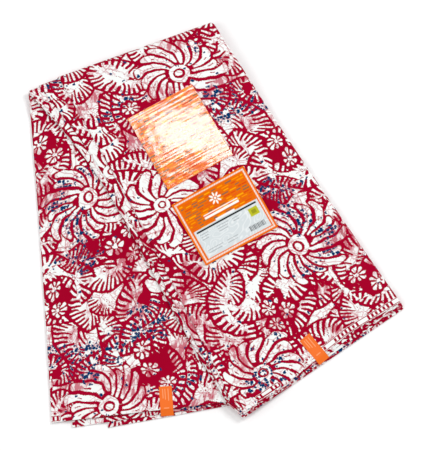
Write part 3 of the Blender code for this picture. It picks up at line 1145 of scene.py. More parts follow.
@dataclass
class Stretch:
    """One stretch of the strip: a block of cells between columns, lines and the plies' faces."""

    piece: Piece
    plan: StripPlan
    band: Selvedge
    slack: Slack
    left_cells: int
    middle_cells: int
    right_cells: int
    top_face: int
    print_turned: bool = False
    run_cells: int = 110
    end_cells: int = 2
    turn_cells: int = 0
    tuck_at_fold: float = 0.047
    tuck_at_end: float = 0.088
    tuck_bulge: float = 0.0

    @property
    def tuck_column(self) -> int:
        """Column where the tuck starts."""
        return self.left_cells + self.middle_cells

    @property
    def columns(self) -> int:
        """Number of cells across."""
        return self.tuck_column + self.right_cells

    @property
    def ply_steps(self) -> Array:
        """How many steps past the top ply each ply ends."""
        raise NotImplementedError

    @property
    def last_lines(self) -> Array:
        """Line where each ply ends."""
        return self.turn_cells + self.run_cells + 1 + self.ply_steps * self.end_cells

    @property
    def lines(self) -> int:
        """Number of cells along."""
        return int(self.last_lines.max())

    def place(self, column: Array, line: Array, face: Array) -> tuple[Array, Array]:
        """Return points in space for column, line and face numbers, and the same points on the flat cloth."""
        raise NotImplementedError

    def end_reach(self, share: Array, step: int | Array) -> Array:
        """Return how far plies reach past the straight end line, at a share across and a step past the top ply."""
        raise NotImplementedError

    def reach(self, run: Array, share: Array, start: float) -> Array:
        """Find how far points lie past their places on the straight run.

        Args:
            run: Line numbers from the fold on.
            share: Shares of the way across.
            start: The length at the fold.

        Returns:
            Lengths in metres.
        """
        steps = range(self.ply_steps.max() + 1)
        places = [0.0, self.run_cells, *[self.run_cells + 1 + step * self.end_cells for step in steps]]
        return through_knots(run, places, [start, -SLOT_WIDTH, *[self.end_reach(share, step) for step in steps]])

    def from_end(self, flat: Array, face: Array) -> Array:
        """Return metres inwards from the end of the ply that each point is on."""
        share = np.clip(flat[:, 0] / STRIP_WIDTH, 0.0, 1.0)
        return self.plan.length + self.end_reach(share, self.ply_steps[face // 2]) - flat[:, 1]

    def tuck(self, way: Array) -> Array:
        """Return the inset of the tuck's edge at a share of the way along."""
        return blend(self.tuck_at_fold, self.tuck_at_end, way) + self.tuck_bulge * np.sin(math.pi * way)

    def across(self, column: Array, depth: Array, tuck: Array, bow: Array) -> Array:
        """Find distances from the strip's left side.

        Args:
            column: Column numbers, which may lie between two columns.
            depth: Depths of the faces.
            tuck: Inset of the tuck's edge.
            bow: Inset of the wrap's edge.

        Returns:
            Distances in metres, with the folded edges rounded.
        """
        stack = STACK
        inside = bow + ROUND_PART_OF_WRAP * stack.wrap_radius
        cut = np.maximum(blend(bow, tuck, CUT_SHARE), inside + LEAST_CUT_STEP)
        tuck = np.maximum(tuck, cut + LEAST_TUCK_STEP)
        flat_end = STRIP_WIDTH - FLAT_BEFORE_FOLD * FOLD_RADIUS
        slot = np.minimum(tuck + SLOT_WIDTH, flat_end - SLOT_WIDTH)
        places = (0.0, 1.0, self.left_cells, self.tuck_column, self.tuck_column + 1, self.columns - 1, self.columns)
        found = through_knots(column, places, (bow, inside, cut, tuck, slot, flat_end, STRIP_WIDTH))
        wrap_depth = stack.wrap_plies * stack.pitch - stack.gap / 2
        tuck_depth = (stack.wrap_plies + stack.cut_plies) * stack.pitch
        wrap = round_inset(np.minimum(depth, 2 * stack.wrap_radius), stack.wrap_radius)
        found += np.where(depth < wrap_depth, wrap * np.clip(1.0 - column, 0.0, 1.0), 0.0)
        tucked = round_inset(np.maximum(depth - tuck_depth, 0.0), stack.tuck_radius)
        past = np.clip(1.0 - (column - self.tuck_column), 0.0, 1.0)
        on_tuck = (depth > tuck_depth - stack.gap / 2) & (column >= self.tuck_column)
        found += np.where(on_tuck, tucked * past, 0.0)
        return found - round_inset(depth, FOLD_RADIUS) * np.clip(column - self.columns + 1, 0.0, 1.0)

    def filled_cells(self) -> Array:
        """Find which cells are cloth. Every second layer lies between two plies.

        Returns:
            True for each cell that is cloth, by column, line and layer.
        """
        plies = STACK.plies
        filled = np.zeros((self.columns, self.lines, 2 * plies - 1), bool)
        starts = np.repeat((0, self.left_cells, self.tuck_column), STACK.parts).tolist()
        ends = self.last_lines.tolist()
        for ply in range(plies):
            filled[starts[ply] :, : ends[ply], 2 * ply] = True
        for ply in range(plies - 1):
            layer = 2 * ply + 1
            start, end = max(starts[ply : ply + 2]), min(ends[ply : ply + 2])
            filled[start:, :end, layer] = True
            folded = starts[ply] == starts[ply + 1] != self.left_cells
            filled[start + folded : -1, end - 1, layer] = False
            if not folded:
                filled[start, :end, layer] = False
        return filled

    def skin(self, filled: Array) -> tuple[Array, Array]:
        """Find the outward faces of the filled cells.

        Args:
            filled: Which cells are cloth.

        Returns:
            Corners of the faces as (column, line, face), and which faces are open to the sky.
        """
        padded = np.pad(filled, 1)
        steps = np.eye(3, dtype=int)
        rings, open_sky = [], []
        for axis in range(3):
            one, two = steps[(axis + 1) % 3], steps[(axis + 2) % 3]
            before = np.roll(padded, 1, axis)
            for outward, cells in ((False, padded & ~before), (True, before & ~padded)):
                at = np.argwhere(cells) - 1
                sides = (one, two) if outward else (two, one)
                rings.append(np.stack([at, at + sides[0], at + one + two, at + sides[1]], axis=1))
                upper = axis == 2 and outward == (self.top_face > 0)
                open_sky.append(self.under_sky(filled, at) if upper else np.zeros(len(at), bool))
        return np.concatenate(rings), np.concatenate(open_sky)

    def under_sky(self, filled: Array, at: Array) -> Array:
        """Find which upper faces have no cloth over them.

        Args:
            filled: Which cells are cloth.
            at: First corners of the faces.

        Returns:
            True for each face that is open to the sky.
        """
        levels = np.arange(filled.shape[2])
        above = levels[None, :] >= at[:, 2:3] if self.top_face > 0 else levels[None, :] < at[:, 2:3]
        return ~(filled[at[:, 0], at[:, 1]] & above).any(axis=1)

    def faces(self) -> tuple[list[list[int]], Array]:
        """Build the faces, cut up finely where they are open to the sky.

        Returns:
            Faces as lists of point numbers, and the points as (column, line, face) in fine steps.
        """
        rings, seen = self.skin(self.filled_cells())
        shape = (FINE * self.columns + 1, FINE * self.lines + 1, 2 * STACK.plies)
        fine = rings * np.array([FINE, FINE, 1])
        corners = fine[seen]
        first, one, two = corners[:, 0], corners[:, 1] - corners[:, 0], corners[:, 3] - corners[:, 0]
        parts = []
        for i in range(FINE):
            for j in range(FINE):
                shares = ((i, j), (i + 1, j), (i + 1, j + 1), (i, j + 1))
                parts.append(np.stack([first + (one * a + two * b) // FINE for a, b in shares], axis=1))
        small = np.ravel_multi_index(np.moveaxis(np.concatenate(parts), 2, 0), shape)
        numbers = np.ravel_multi_index(np.moveaxis(corners, 2, 0), shape)
        after = np.roll(numbers, -1, axis=1)
        cut_edges = set(zip(np.minimum(numbers, after).ravel().tolist(), np.maximum(numbers, after).ravel().tolist()))
        others = []
        for ring in np.ravel_multi_index(np.moveaxis(fine[~seen], 2, 0), shape).tolist():
            grown = []
            for start, end in zip(ring, ring[1:] + ring[:1]):
                grown.append(start)
                if (min(start, end), max(start, end)) in cut_edges:
                    grown += [start + part * (end - start) // FINE for part in range(1, FINE)]
            others.append(grown)
        used = np.unique(np.concatenate([small.ravel(), np.array([number for ring in others for number in ring])]))
        lookup = {number: index for index, number in enumerate(used.tolist())}
        faces = [[lookup[number] for number in ring] for ring in [*small.tolist(), *others]]
        return faces, np.stack(np.unravel_index(used, shape), axis=1)

    def build(self, design: PrintDesign, material: bpy.types.Material) -> bpy.types.Object:
        """Make the stretch.

        Args:
            design: The print.
            material: The cloth's material.

        Returns:
            The piece.
        """
        faces, where = self.faces()
        face = where[:, 2]
        points, flat = self.place(where[:, 0] / FINE, where[:, 1] / FINE, face)
        mesh = new_mesh(self.piece.value[0], points, faces)
        group = np.abs(face // (2 * GROUP_PLIES) - self.top_face // (2 * GROUP_PLIES))
        u, v = design.turned(flat[:, 0], flat[:, 1]) if self.print_turned else (flat[:, 0], flat[:, 1])
        u, v = u + design.group_shift[0] * group, v + design.group_shift[1] * group
        from_end = np.where(group == 0, self.from_end(flat, face), 1.0)
        depth = self.band.depth(flat[:, 0], from_end)
        for name, values in ((EDGE_NAME, design.white(u, v)), (BAND_NAME, depth)):
            attribute = mesh.attributes.new(name, "FLOAT", "POINT")
            attribute.data.foreach_set("value", np.clip(values, design.least, design.most).astype(np.float32))
        numbers = np.empty(len(mesh.loops), np.int32)
        mesh.loops.foreach_get("vertex_index", numbers)
        for name, pair in ((CLOTH_MAP, (u, v)), (BAND_MAP, (flat[:, 0], self.band.middle(from_end)))):
            layer = mesh.uv_layers.new(name=name)
            layer.data.foreach_set("uv", np.stack(pair, axis=1)[numbers].astype(np.float32).ravel())
        return add_piece(self.piece, mesh, material)


@dataclass
class LowerStretch(Stretch):
    """The stretch that lies on the table."""

    sag_fade_in: float = 0.10
    seam_gap: float = 0.0003
    slot_share: float = 0.4
    reaches: tuple[Pair, ...] = ((0.0, 0.0), (0.0120, 0.0022), (0.0235, 0.0036))

    @property
    def ply_steps(self) -> Array:
        """How many steps past the top ply each ply ends."""
        return np.repeat(np.arange(len(self.reaches)), STACK.parts)

    def end_reach(self, share: Array, step: int | Array) -> Array:
        """Return how far plies reach past the straight end line."""
        reach = np.array(self.reaches)[step]
        return blend(reach[..., 0], reach[..., 1], share)

    def place(self, column: Array, line: Array, face: Array) -> tuple[Array, Array]:
        """Find where points lie.

        Args:
            column: Column numbers.
            line: Line numbers.
            face: Face numbers.

        Returns:
            Points in space, and the same points on the flat cloth.
        """
        way = np.clip(line / self.run_cells, 0.0, 1.0)
        tuck = self.tuck(way)
        depth = STACK.depths[face]
        across = self.across(column, depth, tuck, np.zeros_like(way))
        share = across / STRIP_WIDTH
        reach = self.reach(line, share, self.seam_gap)
        run = way * self.plan.length
        top = STACK.height - self.sag(across, tuck, way)
        height = top - depth
        height += self.slack.height(across, run) * np.clip(height / top, 0.0, 1.0)
        return np.column_stack([self.plan.at(way, share, reach), height]), np.column_stack([across, run + reach])

    def sag(self, across: Array, tuck: Array, way: Array) -> Array:
        """Find how far the left side sags, where fewer plies lie under it.

        Args:
            across: Distances from the strip's left side.
            tuck: Inset of the tuck's edge.
            way: Share of the way along.

        Returns:
            Depths in metres.
        """
        inside = ROUND_PART_OF_WRAP * STACK.wrap_radius
        cut = np.maximum(CUT_SHARE * tuck, inside + LEAST_CUT_STEP)
        halfway = (inside + cut) / 2
        ramp = self.slot_share * (tuck - cut)
        at_cut = 1.0 - smooth((across - halfway) / (cut - halfway))
        at_tuck = 1.0 - smooth((across - tuck + ramp) / ramp)
        return 2 * LEAF_PITCH * (at_cut + at_tuck) * smooth(way / self.sag_fade_in)


@dataclass
class UpperStretch(Stretch):
    """The turned edge and the stretch that lies over the lower one.

    Its top plies end lower on the left, where the cloth is slack, and the end's left corner is drawn in.
    """

    turn_cells: int = 8
    turn_radius: float = 0.0003
    turn_skew: float = math.tan(math.radians(14.4))
    skew_left_at_end: float = 0.3
    tuck_at_end: float = 0.005
    tuck_bulge: float = 0.005
    wrap_bow: float = 0.020
    wrap_bow_skew: float = 0.59
    descent_start: float = 0.006
    descent_end: float = 0.100
    descent_fade_in: float = 0.06
    lower: StripPlan = LOWER_PLAN
    last_step: int = 3
    last_reach: Pair = (0.0280, 0.0110)
    top_shares: tuple[float, ...] = (0.0, 0.15, 0.30, 0.45, 0.70, 1.0)
    top_reaches: tuple[float, ...] = (0.0205, 0.0195, 0.0160, 0.0095, 0.0, 0.0)
    corner_draw: float = 0.31

    @property
    def ply_steps(self) -> Array:
        """How many steps past the top ply each ply ends."""
        return np.repeat(np.arange(self.last_step, -1, -1), GROUP_PLIES)

    @property
    def rise(self) -> float:
        """Height of the stretch's underside over the lower one."""
        return STACK.height + 2 * self.turn_radius

    @property
    def slip_at_end(self) -> float:
        """How far the top ply has slipped along the fold's run by its end."""
        return self.turn_skew * (self.turn_radius + STACK.height) * math.pi * self.skew_left_at_end

    def end_reach(self, share: Array, step: int | Array) -> Array:
        """Return how far plies reach past the straight end line."""
        top = np.interp(share, self.top_shares, self.top_reaches)
        return top + (blend(*self.last_reach, share) - top) * step / self.last_step

    def place(self, column: Array, line: Array, face: Array) -> tuple[Array, Array]:
        """Find where points lie.

        Args:
            column: Column numbers.
            line: Line numbers.
            face: Face numbers.

        Returns:
            Points in space, and the same points on the flat cloth.
        """
        angle = math.pi * np.clip(line / self.turn_cells, 0.0, 1.0)
        run = np.maximum(line - self.turn_cells, 0.0)
        way = np.clip(run / self.run_cells, 0.0, 1.0)
        bow = self.wrap_bow * np.sin(math.pi * way**self.wrap_bow_skew) ** 2
        depth = STACK.depths[face]
        radius = self.turn_radius + depth
        across = self.across(column, depth, self.tuck(way), bow)
        share = across / STRIP_WIDTH
        reach = self.reach(run, share, 0.0)
        drawn = self.corner_draw * np.maximum(reach, 0.0) * (1.0 - share) ** 4
        on_run = self.plan.at(way, share, reach) + self.plan.end_run * drawn[:, None]
        height = self.rise - self.drop(on_run, way) + depth
        height += self.slack.height(across, way * self.plan.length) * depth / STACK.height
        slip = self.turn_skew * radius * math.pi * (1.0 - (1.0 - self.skew_left_at_end) * way)
        on_run = on_run + FOLD_RUN * slip[:, None]
        turned = between(FOLD_LEFT, FOLD_RIGHT, share) + FOLD_OUT * (radius * np.sin(angle))[:, None]
        turned = turned + FOLD_RUN * (self.turn_skew * radius * angle)[:, None]
        turn_height = STACK.height + self.turn_radius - radius * np.cos(angle)
        turning = line <= self.turn_cells
        plan = np.where(turning[:, None], turned, on_run)
        flat = np.column_stack([across, way * self.plan.length + reach - (math.pi - angle) * radius])
        return np.column_stack([plan, np.where(turning, turn_height, height)]), flat

    def drop(self, plan: Array, way: Array) -> Array:
        """Find how far the stretch is down past the side or the end of the lower one.

        Args:
            plan: Plan points.
            way: Share of the way along.

        Returns:
            Depths in metres.
        """
        side_run = unit(np.subtract(self.lower.end_right, self.lower.fold_right))
        end_run = self.lower.end_run
        past_side = np.maximum((plan - self.lower.fold_right) @ np.array([-side_run[1], side_run[0]]), 0.0)
        past_end = np.maximum((plan - self.lower.end_right) @ np.array([end_run[1], -end_run[0]]), 0.0)
        distance = np.hypot(past_side, past_end)
        down = smooth((distance - self.descent_start) / (self.descent_end - self.descent_start))
        return self.rise * down * smooth(way / self.descent_fade_in)


# Labels


class Canvas:
    """The ink of a label: a linear colour at each point of its plate."""

    def __init__(self, x: Array, y: Array, ground: Colour) -> None:
        """Start with one ground colour, at millimetres across and down."""
        self.x, self.y = x, y
        self.colours = np.tile(np.array(ground), (*x.shape, 1))

    def lay(self, share: Array, colour: Colour) -> None:
        """Lay a colour over the canvas by a share of 0 to 1."""
        held = np.clip(share, 0.0, 1.0)[..., None]
        self.colours += (np.array(colour) - self.colours) * held

    def inside(self, box: Box) -> Array:
        """Find what is inside a box.

        Args:
            box: Left, top, right and bottom of the box.

        Returns:
            1 inside the box, easing to 0 outside it.
        """
        left, top, right, bottom = box
        across, down = np.minimum(self.x - left, right - self.x), np.minimum(self.y - top, bottom - self.y)
        return np.clip(np.minimum(across, down) / 0.7 + 0.5, 0.0, 1.0)

    def box(self, box: Box, colour: Colour, strength: float = 1.0) -> None:
        """Lay a box of colour over the canvas."""
        self.lay(strength * self.inside(box), colour)

    def frame(self, outer: float, inner: float, colour: Colour, strength: Array | float = 1.0) -> None:
        """Lay a frame over the canvas.

        Args:
            outer: Inset of its outer line, 0 at the label's edge.
            inner: Inset of its inner line.
            colour: Its colour.
            strength: How much of the colour shows.
        """
        across, down = np.minimum(self.x, self.x.max() - self.x), np.minimum(self.y, self.y.max() - self.y)
        inset = np.minimum(across, down)
        share = np.clip((inner - inset) / 0.5 + 0.5, 0.0, 1.0)
        if outer > 0.0:
            share = share * np.clip((inset - outer) / 0.5 + 0.5, 0.0, 1.0)
        self.lay(share * strength, colour)

    def dashes(self, pitch: float, seed: int, strength: float) -> None:
        """Lay rows of short coloured dashes over the canvas.

        Args:
            pitch: Millimetres from row to row.
            seed: Seed of the dashes' lengths and inks.
            strength: How much of the ink shows.
        """
        draw = np.random.default_rng(seed)
        rows = np.floor(self.y / pitch).astype(int)
        for row in range(rows.min(), rows.max() + 1):
            middle = (row + 0.5) * pitch
            at = -draw.uniform(0.0, 12.0)
            while at < self.x.max():
                length = draw.uniform(5.0, 13.0)
                colour = DASH_INKS[int(draw.integers(len(DASH_INKS)))]
                half = pitch * draw.uniform(0.14, 0.26)
                self.box((at, middle - half, at + length, middle + half), colour, strength)
                at += length + draw.uniform(1.0, 5.0)


@dataclass
class Label:
    """A thin plate that follows the cloth below it, with its ink in the mesh's colours."""

    piece: Piece
    stock: LabelStock
    middle: Pair
    turn: float
    width: float
    height: float
    cell: float
    crown: float = 0.0
    wall: float = 0.0003
    lift: float = 0.0003
    coarse: int = 6
    ease: float = 0.92

    def ink(self, x: Array, y: Array) -> Canvas:
        """Return the label's ink at millimetres from its top left corner."""
        raise NotImplementedError

    def plan(self, x: Array, y: Array) -> Array:
        """Find plan points.

        Args:
            x: Metres across the label.
            y: Metres down the label.

        Returns:
            The plan points.
        """
        run = np.array([math.cos(self.turn), math.sin(self.turn)])
        down = np.array([run[1], -run[0]])
        return np.array(self.middle) + (x - self.width / 2)[..., None] * run + (y - self.height / 2)[..., None] * down

    def ground(self, cloth: BVHTree, x: float, y: float) -> float:
        """Return the height of the cloth at a plan point."""
        hit = cloth.ray_cast(Vector((x, y, 0.2)), Vector((0.0, 0.0, -1.0)))
        return hit[0].z if hit[0] is not None else 0.0

    def heights(self, cloth: BVHTree, plan: Array) -> Array:
        """Find the label's underside, measured on the cloth at some points and eased over it.

        Args:
            cloth: What the label lies on.
            plan: Plan points.

        Returns:
            Heights that nowhere lie below the cloth's.
        """
        rows, lines = (np.unique(np.append(np.arange(0, count, self.coarse), count - 1)) for count in plan.shape[:2])
        known = np.array([[self.ground(cloth, *plan[i, j]) for j in lines] for i in rows])
        along = np.array([np.interp(np.arange(plan.shape[1]), lines, row) for row in known])
        measured = np.array([np.interp(np.arange(plan.shape[0]), rows, column) for column in along.T]).T
        x, y = (plan - np.array(self.middle)).reshape(-1, 2).T
        terms = np.stack([np.ones_like(x), x, y, x * x, x * y, y * y], axis=1)
        fitted = (terms @ np.linalg.lstsq(terms, measured.ravel(), rcond=None)[0]).reshape(measured.shape)
        rest = self.ease * fitted + (1.0 - self.ease) * measured
        return rest + (measured - rest).max()

    def build(self, cloth: BVHTree) -> bpy.types.Object:
        """Make the label.

        Args:
            cloth: What it lies on.

        Returns:
            The piece.
        """
        across = np.linspace(0.0, self.width, round(self.width / self.cell) + 1)
        down = np.linspace(0.0, self.height, round(self.height / self.cell) + 1)
        x, y = np.meshgrid(across, down, indexing="ij")
        plan = self.plan(x, y)
        arch = 16.0 * (x / self.width) * (1 - x / self.width) * (y / self.height) * (1 - y / self.height)
        base = self.heights(cloth, plan) + self.lift + self.crown * arch
        under = np.concatenate([plan, base[..., None]], axis=2).reshape(-1, 3)
        over = under + np.array([0.0, 0.0, self.wall])
        count = len(under)
        grid = np.arange(count).reshape(x.shape)
        quads = np.stack([grid[:-1, :-1], grid[:-1, 1:], grid[1:, 1:], grid[1:, :-1]], axis=2).reshape(-1, 4)
        rim = np.concatenate([grid[:, 0], grid[-1, 1:], grid[-2::-1, -1], grid[0, -2:0:-1]]).tolist()
        faces = [*quads.tolist(), *(quads[:, ::-1] + count).tolist()]
        faces += [[a, a + count, b + count, b] for a, b in zip(rim, rim[1:] + rim[:1])]
        mesh = new_mesh(self.piece.value[0], np.concatenate([under, over]), faces)
        colours = self.ink(1000.0 * x, 1000.0 * y).colours.reshape(-1, 4)
        attribute = mesh.attributes.new(INK_NAME, "FLOAT_COLOR", "POINT")
        attribute.data.foreach_set("color", np.concatenate([colours, colours]).astype(np.float32).ravel())
        return add_piece(self.piece, mesh, self.stock.material())


@dataclass
class FoilLabel(Label):
    """The large label of glossy orange foil, with rows of dashes."""

    def ink(self, x: Array, y: Array) -> Canvas:
        """Lay out the label's ink.

        Args:
            x: Millimetres across.
            y: Millimetres down.

        Returns:
            The ink.
        """
        canvas = Canvas(x, y, FOIL_ORANGE)
        canvas.dashes(5.2, 5, 0.95)
        return canvas


@dataclass
class CardLabel(Label):
    """The bordered paper label, with a rosette, a pale panel, plain rules and a bar block."""

    panel: Box = (9.0, 57.5, 125.0, 106.5)
    rosette_middle: Pair = (67.0, 24.5)
    rosette_radius: float = 10.5
    rosette_gap: Pair = (2.0, 3.6)  # millimetres, between the dot and the petals
    hatch_pitch: float = 4.6
    bars: int = 12
    bar_pitch: float = 2.4
    rule_pitch: float = 4.3
    # Plain boxes over the ground, and over the panel: left, top, right and bottom, with their ink
    head_marks: tuple[tuple[Box, Colour], ...] = (
        ((50.5, 54.5, 85.0, 58.5), STRIP_WHITE),
        ((36.0, 41.0, 98.0, 42.6), MARK_WHITE),
        ((36.0, 44.6, 98.0, 48.4), MARK_WHITE),
    )
    panel_marks: tuple[tuple[Box, Colour], ...] = (
        ((12.7, 59.9, 121.2, 62.8), RULE_BLACK),
        ((103.0, 66.5, 119.0, 80.0), BADGE_GREEN),
        ((107.0, 70.0, 115.0, 76.5), BADGE_MIDDLE),
    )
    # Groups of thin rules: left, top, length and count
    rules: tuple[tuple[float, float, float, int], ...] = (
        (15.5, 66.5, 15.0, 3),
        (46.0, 66.5, 21.0, 3),
        (15.0, 94.0, 27.0, 2),
        (49.5, 94.0, 20.0, 2),
        (74.0, 67.0, 12.0, 2),
    )

    def ink(self, x: Array, y: Array) -> Canvas:
        """Lay out the label's ink.

        Args:
            x: Millimetres across.
            y: Millimetres down.

        Returns:
            The ink.
        """
        canvas = Canvas(x, y, CARD_ORANGE)
        canvas.dashes(4.6, 9, 0.85)
        hatch = 0.5 + 0.5 * np.sin((x + y) * 2.0 * math.pi / self.hatch_pitch)
        canvas.frame(0.0, 3.1, EDGE_ORANGE)
        canvas.frame(3.1, 5.9, BORDER_PALE)
        canvas.frame(3.1, 5.9, BORDER_HATCH, 0.50 * hatch)
        canvas.frame(5.9, 8.4, EDGE_ORANGE)
        for box, colour in self.head_marks:
            canvas.box(box, colour)
        canvas.lay(self.rosette(x, y), MARK_WHITE)
        canvas.box(self.panel, PANEL_GREY)
        swirl = np.abs(np.sin(2.2 * Ripple(0.020, 1.0, 71).at(x / 1000.0, y / 1000.0)))
        canvas.lay(canvas.inside(self.panel) * np.clip(1.0 - swirl * 1.6, 0.0, 1.0) * 0.7, SWIRL_WHITE)
        for box, colour in self.panel_marks:
            canvas.box(box, colour)
        for left, top, length, count in self.rules:
            for row in range(count):
                down = top + self.rule_pitch * row
                canvas.box((left, down, left + length * (1.0 - 0.12 * row), down + 1.0), TEXT_GREY, 0.6)
        for bar in range(self.bars):
            left = 91.0 + self.bar_pitch * bar
            canvas.box((left, 92.5, left + (1.2 if bar % 3 else 1.7), 101.0), BAR_GREY, 0.85)
        return canvas

    def rosette(self, x: Array, y: Array) -> Array:
        """Find where the rosette lies, of eight petals round a dot.

        Args:
            x: Millimetres across.
            y: Millimetres down.

        Returns:
            1 inside the rosette, easing to 0 outside it.
        """
        across, down = x - self.rosette_middle[0], y - self.rosette_middle[1]
        from_middle = np.hypot(across, down)
        petals = self.rosette_radius * np.abs(np.cos(4.0 * np.arctan2(down, across))) - from_middle
        dot, gap = self.rosette_gap
        return np.clip(np.maximum(np.minimum(petals, from_middle - gap), dot - from_middle) + 0.5, 0.0, 1.0)


@dataclass
class Tab(Label):
    """A small orange paper tab that hangs over the end of a stretch."""

    bend_at: float = 0.0
    slope: float = 0.0
    bend_margin: float = 0.001

    def ink(self, x: Array, y: Array) -> Canvas:
        """Lay out the tab's ink.

        Args:
            x: Millimetres across.
            y: Millimetres down.

        Returns:
            The ink.
        """
        canvas = Canvas(x, y, TAB_ORANGE)
        for column, left in enumerate((5.0, 8.6, 13.5)):
            canvas.box((left, 4.0, left + 1.3, 19.0 + 2.0 * column), TAB_MARK, 0.5)
        canvas.box((6.0, 34.0, 14.0, 35.4), TAB_MARK, 0.55)
        return canvas

    def heights(self, cloth: BVHTree, plan: Array) -> Array:
        """Find the tab's underside, which bends down past the end of the top ply.

        Args:
            cloth: What the tab lies on.
            plan: Plan points.

        Returns:
            Heights.
        """
        down = np.linspace(0.0, self.height, plan.shape[1])
        held = np.minimum(down, self.bend_at - self.bend_margin)
        along = unit(plan[0, -1] - plan[0, 0])
        under = plan[:, :1] + held[None, :, None] * along
        known = np.array([[self.ground(cloth, *point) for point in row] for row in under])
        return known - self.slope * np.maximum(down - self.bend_at, 0.0)[None, :]


@dataclass(frozen=True)
class TabPlace:
    """Where a tab crosses the end of a stretch, as a share of its width, and how it lies there."""

    piece: Piece
    plan: StripPlan
    share: float
    turn: float  # degrees from +X, down the tab
    width: float
    on_cloth: float
    past: float
    slope: float
    bend: float = 0.0
    slip: float = 0.0

    def tab(self) -> Tab:
        """Lay out the tab.

        Returns:
            The tab.
        """
        run = math.radians(self.turn)
        length = self.on_cloth + self.past
        crossing = between(self.plan.end_left, self.plan.end_right, self.share) + FOLD_RUN * self.slip
        middle = crossing + np.array([math.cos(run), math.sin(run)]) * (self.past - length / 2)
        tab = Tab(self.piece, TAB_STOCK, tuple(middle), run + math.pi / 2, self.width, length, 0.0006)
        tab.bend_at = self.on_cloth + self.bend
        tab.slope = self.slope
        return tab


# Studio


@dataclass(frozen=True)
class Lamp:
    """A soft rectangular light."""

    name: str
    place: Point
    target: Point
    size: Pair
    power: float

    def build(self) -> None:
        """Put the light in the scene."""
        data = bpy.data.lights.new(self.name, "AREA")
        data.shape = "RECTANGLE"
        data.size, data.size_y = self.size
        data.energy = self.power
        lamp = bpy.data.objects.new(self.name, data)
        lamp.location = self.place
        lamp.rotation_euler = (Vector(self.target) - Vector(self.place)).to_track_quat("-Z", "Y").to_euler()
        bpy.context.scene.collection.objects.link(lamp)


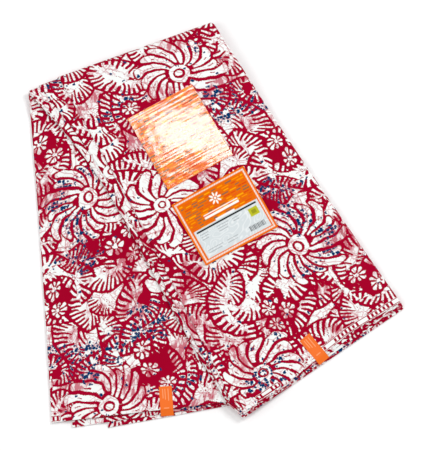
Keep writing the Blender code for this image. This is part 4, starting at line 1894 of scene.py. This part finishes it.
@dataclass(frozen=True)
class Studio:
    """A pale floor, soft lights and the camera."""

    aim: Point = (0.0020, -0.0077, 0.008)
    elevation: float = math.radians(78)
    distance: float = 3.0
    lens: float = 155.72
    sensor: float = 36.0
    floor_size: float = 6.0
    floor_drop: float = 0.0004
    world_light: float = 0.60
    glare_distance: float = 6.0
    glare_shift: Point = (0.10, 0.05, 0.0)

    @property
    def back(self) -> Vector:
        """Direction from the aim to the camera."""
        return Vector((0.0, -math.cos(self.elevation), math.sin(self.elevation)))

    def build(self, foil: bpy.types.Object) -> None:
        """Make the studio, with a window's light mirrored in the foil.

        Args:
            foil: The foil label.
        """
        self.floor()
        self.camera()
        middle = (0.0, 0.0, 0.0)
        Lamp("key", (1.7, 1.1, 2.3), middle, (0.9, 0.9), 32.0).build()
        Lamp("fill", (-1.8, -1.0, 2.2), middle, (1.8, 1.8), 22.0).build()
        self.glare(foil).build()
        world = bpy.data.worlds.new("pale_room")
        world.use_nodes = True
        ground = world.node_tree.nodes["Background"]
        ground.inputs["Color"].default_value = (1.0, 1.0, 1.0, 1.0)
        ground.inputs["Strength"].default_value = self.world_light
        bpy.context.scene.world = world
        bpy.context.scene.view_settings.view_transform = "Standard"

    def glare(self, foil: bpy.types.Object) -> Lamp:
        """Place a light that the camera sees mirrored in a plate.

        Args:
            foil: The plate.

        Returns:
            The light.
        """
        faces = [face for face in foil.data.polygons if face.normal.z > 0.5]
        normal = sum((face.normal * face.area for face in faces), Vector()).normalized()
        middle = sum((face.center * face.area for face in faces), Vector()) / sum(face.area for face in faces)
        seen_from = (Vector(self.aim) + self.back * self.distance - middle).normalized()
        mirrored = 2.0 * normal.dot(seen_from) * normal - seen_from
        place = middle + self.glare_distance * mirrored + Vector(self.glare_shift)
        return Lamp("glare", tuple(place), tuple(middle), (0.78, 0.66), 37.0)

    def floor(self) -> None:
        """Lay the floor."""
        half = self.floor_size / 2
        mesh = bpy.data.meshes.new("floor")
        corners = [(-half, -half), (half, -half), (half, half), (-half, half)]
        mesh.from_pydata([(x, y, -self.floor_drop) for x, y in corners], [], [[0, 1, 2, 3]])
        desk = Desk("pale_floor")
        place = desk.node("ShaderNodeTexCoord").outputs["Object"]
        tone = desk.mix(desk.noise(place, 3.0, 2.0), linear(250, 250, 250), linear(254, 254, 254))
        mesh.materials.append(desk.finish({"Base Color": tone, "Roughness": 0.9, "Specular IOR Level": 0.1}))
        floor = bpy.data.objects.new("floor", mesh)
        bpy.context.scene.collection.objects.link(floor)

    def camera(self) -> None:
        """Place the camera at the photo's angle."""
        data = bpy.data.cameras.new("camera")
        data.sensor_fit = "HORIZONTAL"
        data.sensor_width = self.sensor
        data.lens = self.lens
        camera = bpy.data.objects.new("camera", data)
        camera.location = Vector(self.aim) + self.back * self.distance
        camera.rotation_euler = (-self.back).to_track_quat("-Z", "Y").to_euler()
        bpy.context.scene.collection.objects.link(camera)
        bpy.context.scene.camera = camera


def tree_of(piece: bpy.types.Object) -> BVHTree:
    """Return a search tree of a piece's faces."""
    mesh = piece.data
    return BVHTree.FromPolygons([point.co for point in mesh.vertices], [face.vertices for face in mesh.polygons])


def main() -> None:
    """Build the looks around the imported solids."""
    logging.basicConfig(level=logging.INFO, format="%(message)s")
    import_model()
    design = PrintDesign()
    cotton = PrintedCotton().material()
    lower = LowerStretch(Piece.LOWER_CLOTH, LOWER_PLAN, LOWER_BAND, LOWER_SLACK, 7, 11, 40, 0, print_turned=True)
    upper = UpperStretch(Piece.UPPER_CLOTH, UPPER_PLAN, UPPER_BAND, UPPER_SLACK, 4, 6, 54, 2 * STACK.plies - 1)
    lower_cloth = lower.build(design, cotton)
    upper_cloth = upper.build(design, cotton)
    lower_tree, upper_tree = tree_of(lower_cloth), tree_of(upper_cloth)
    foil = FoilLabel(Piece.FOIL, FOIL_STOCK, (-0.0548, 0.1368), LABEL_TURN, 0.120, 0.136, 0.0009, 0.0003)
    foil_piece = foil.build(upper_tree)
    card = CardLabel(Piece.CARD, CARD_STOCK, (0.0177, 0.0059), LABEL_TURN, 0.133, 0.114, 0.00075)
    card_piece = card.build(upper_tree)
    lower_tab = TabPlace(Piece.LOWER_TAB, LOWER_PLAN, 0.603, -85.7, 0.0205, 0.0360, 0.0105, 0.62)
    tabs = [lower_tab.tab().build(lower_tree)]
    bend = float(upper.end_reach(np.array(0.51), 0))
    slip = upper.slip_at_end
    upper_tab = TabPlace(Piece.UPPER_TAB, UPPER_PLAN, 0.507, -50.4, 0.0202, 0.0325, 0.0170, 0.27, bend, slip)
    tabs.append(upper_tab.tab().build(upper_tree))
    Studio().build(foil_piece)


if __name__ == "__main__":
    main()
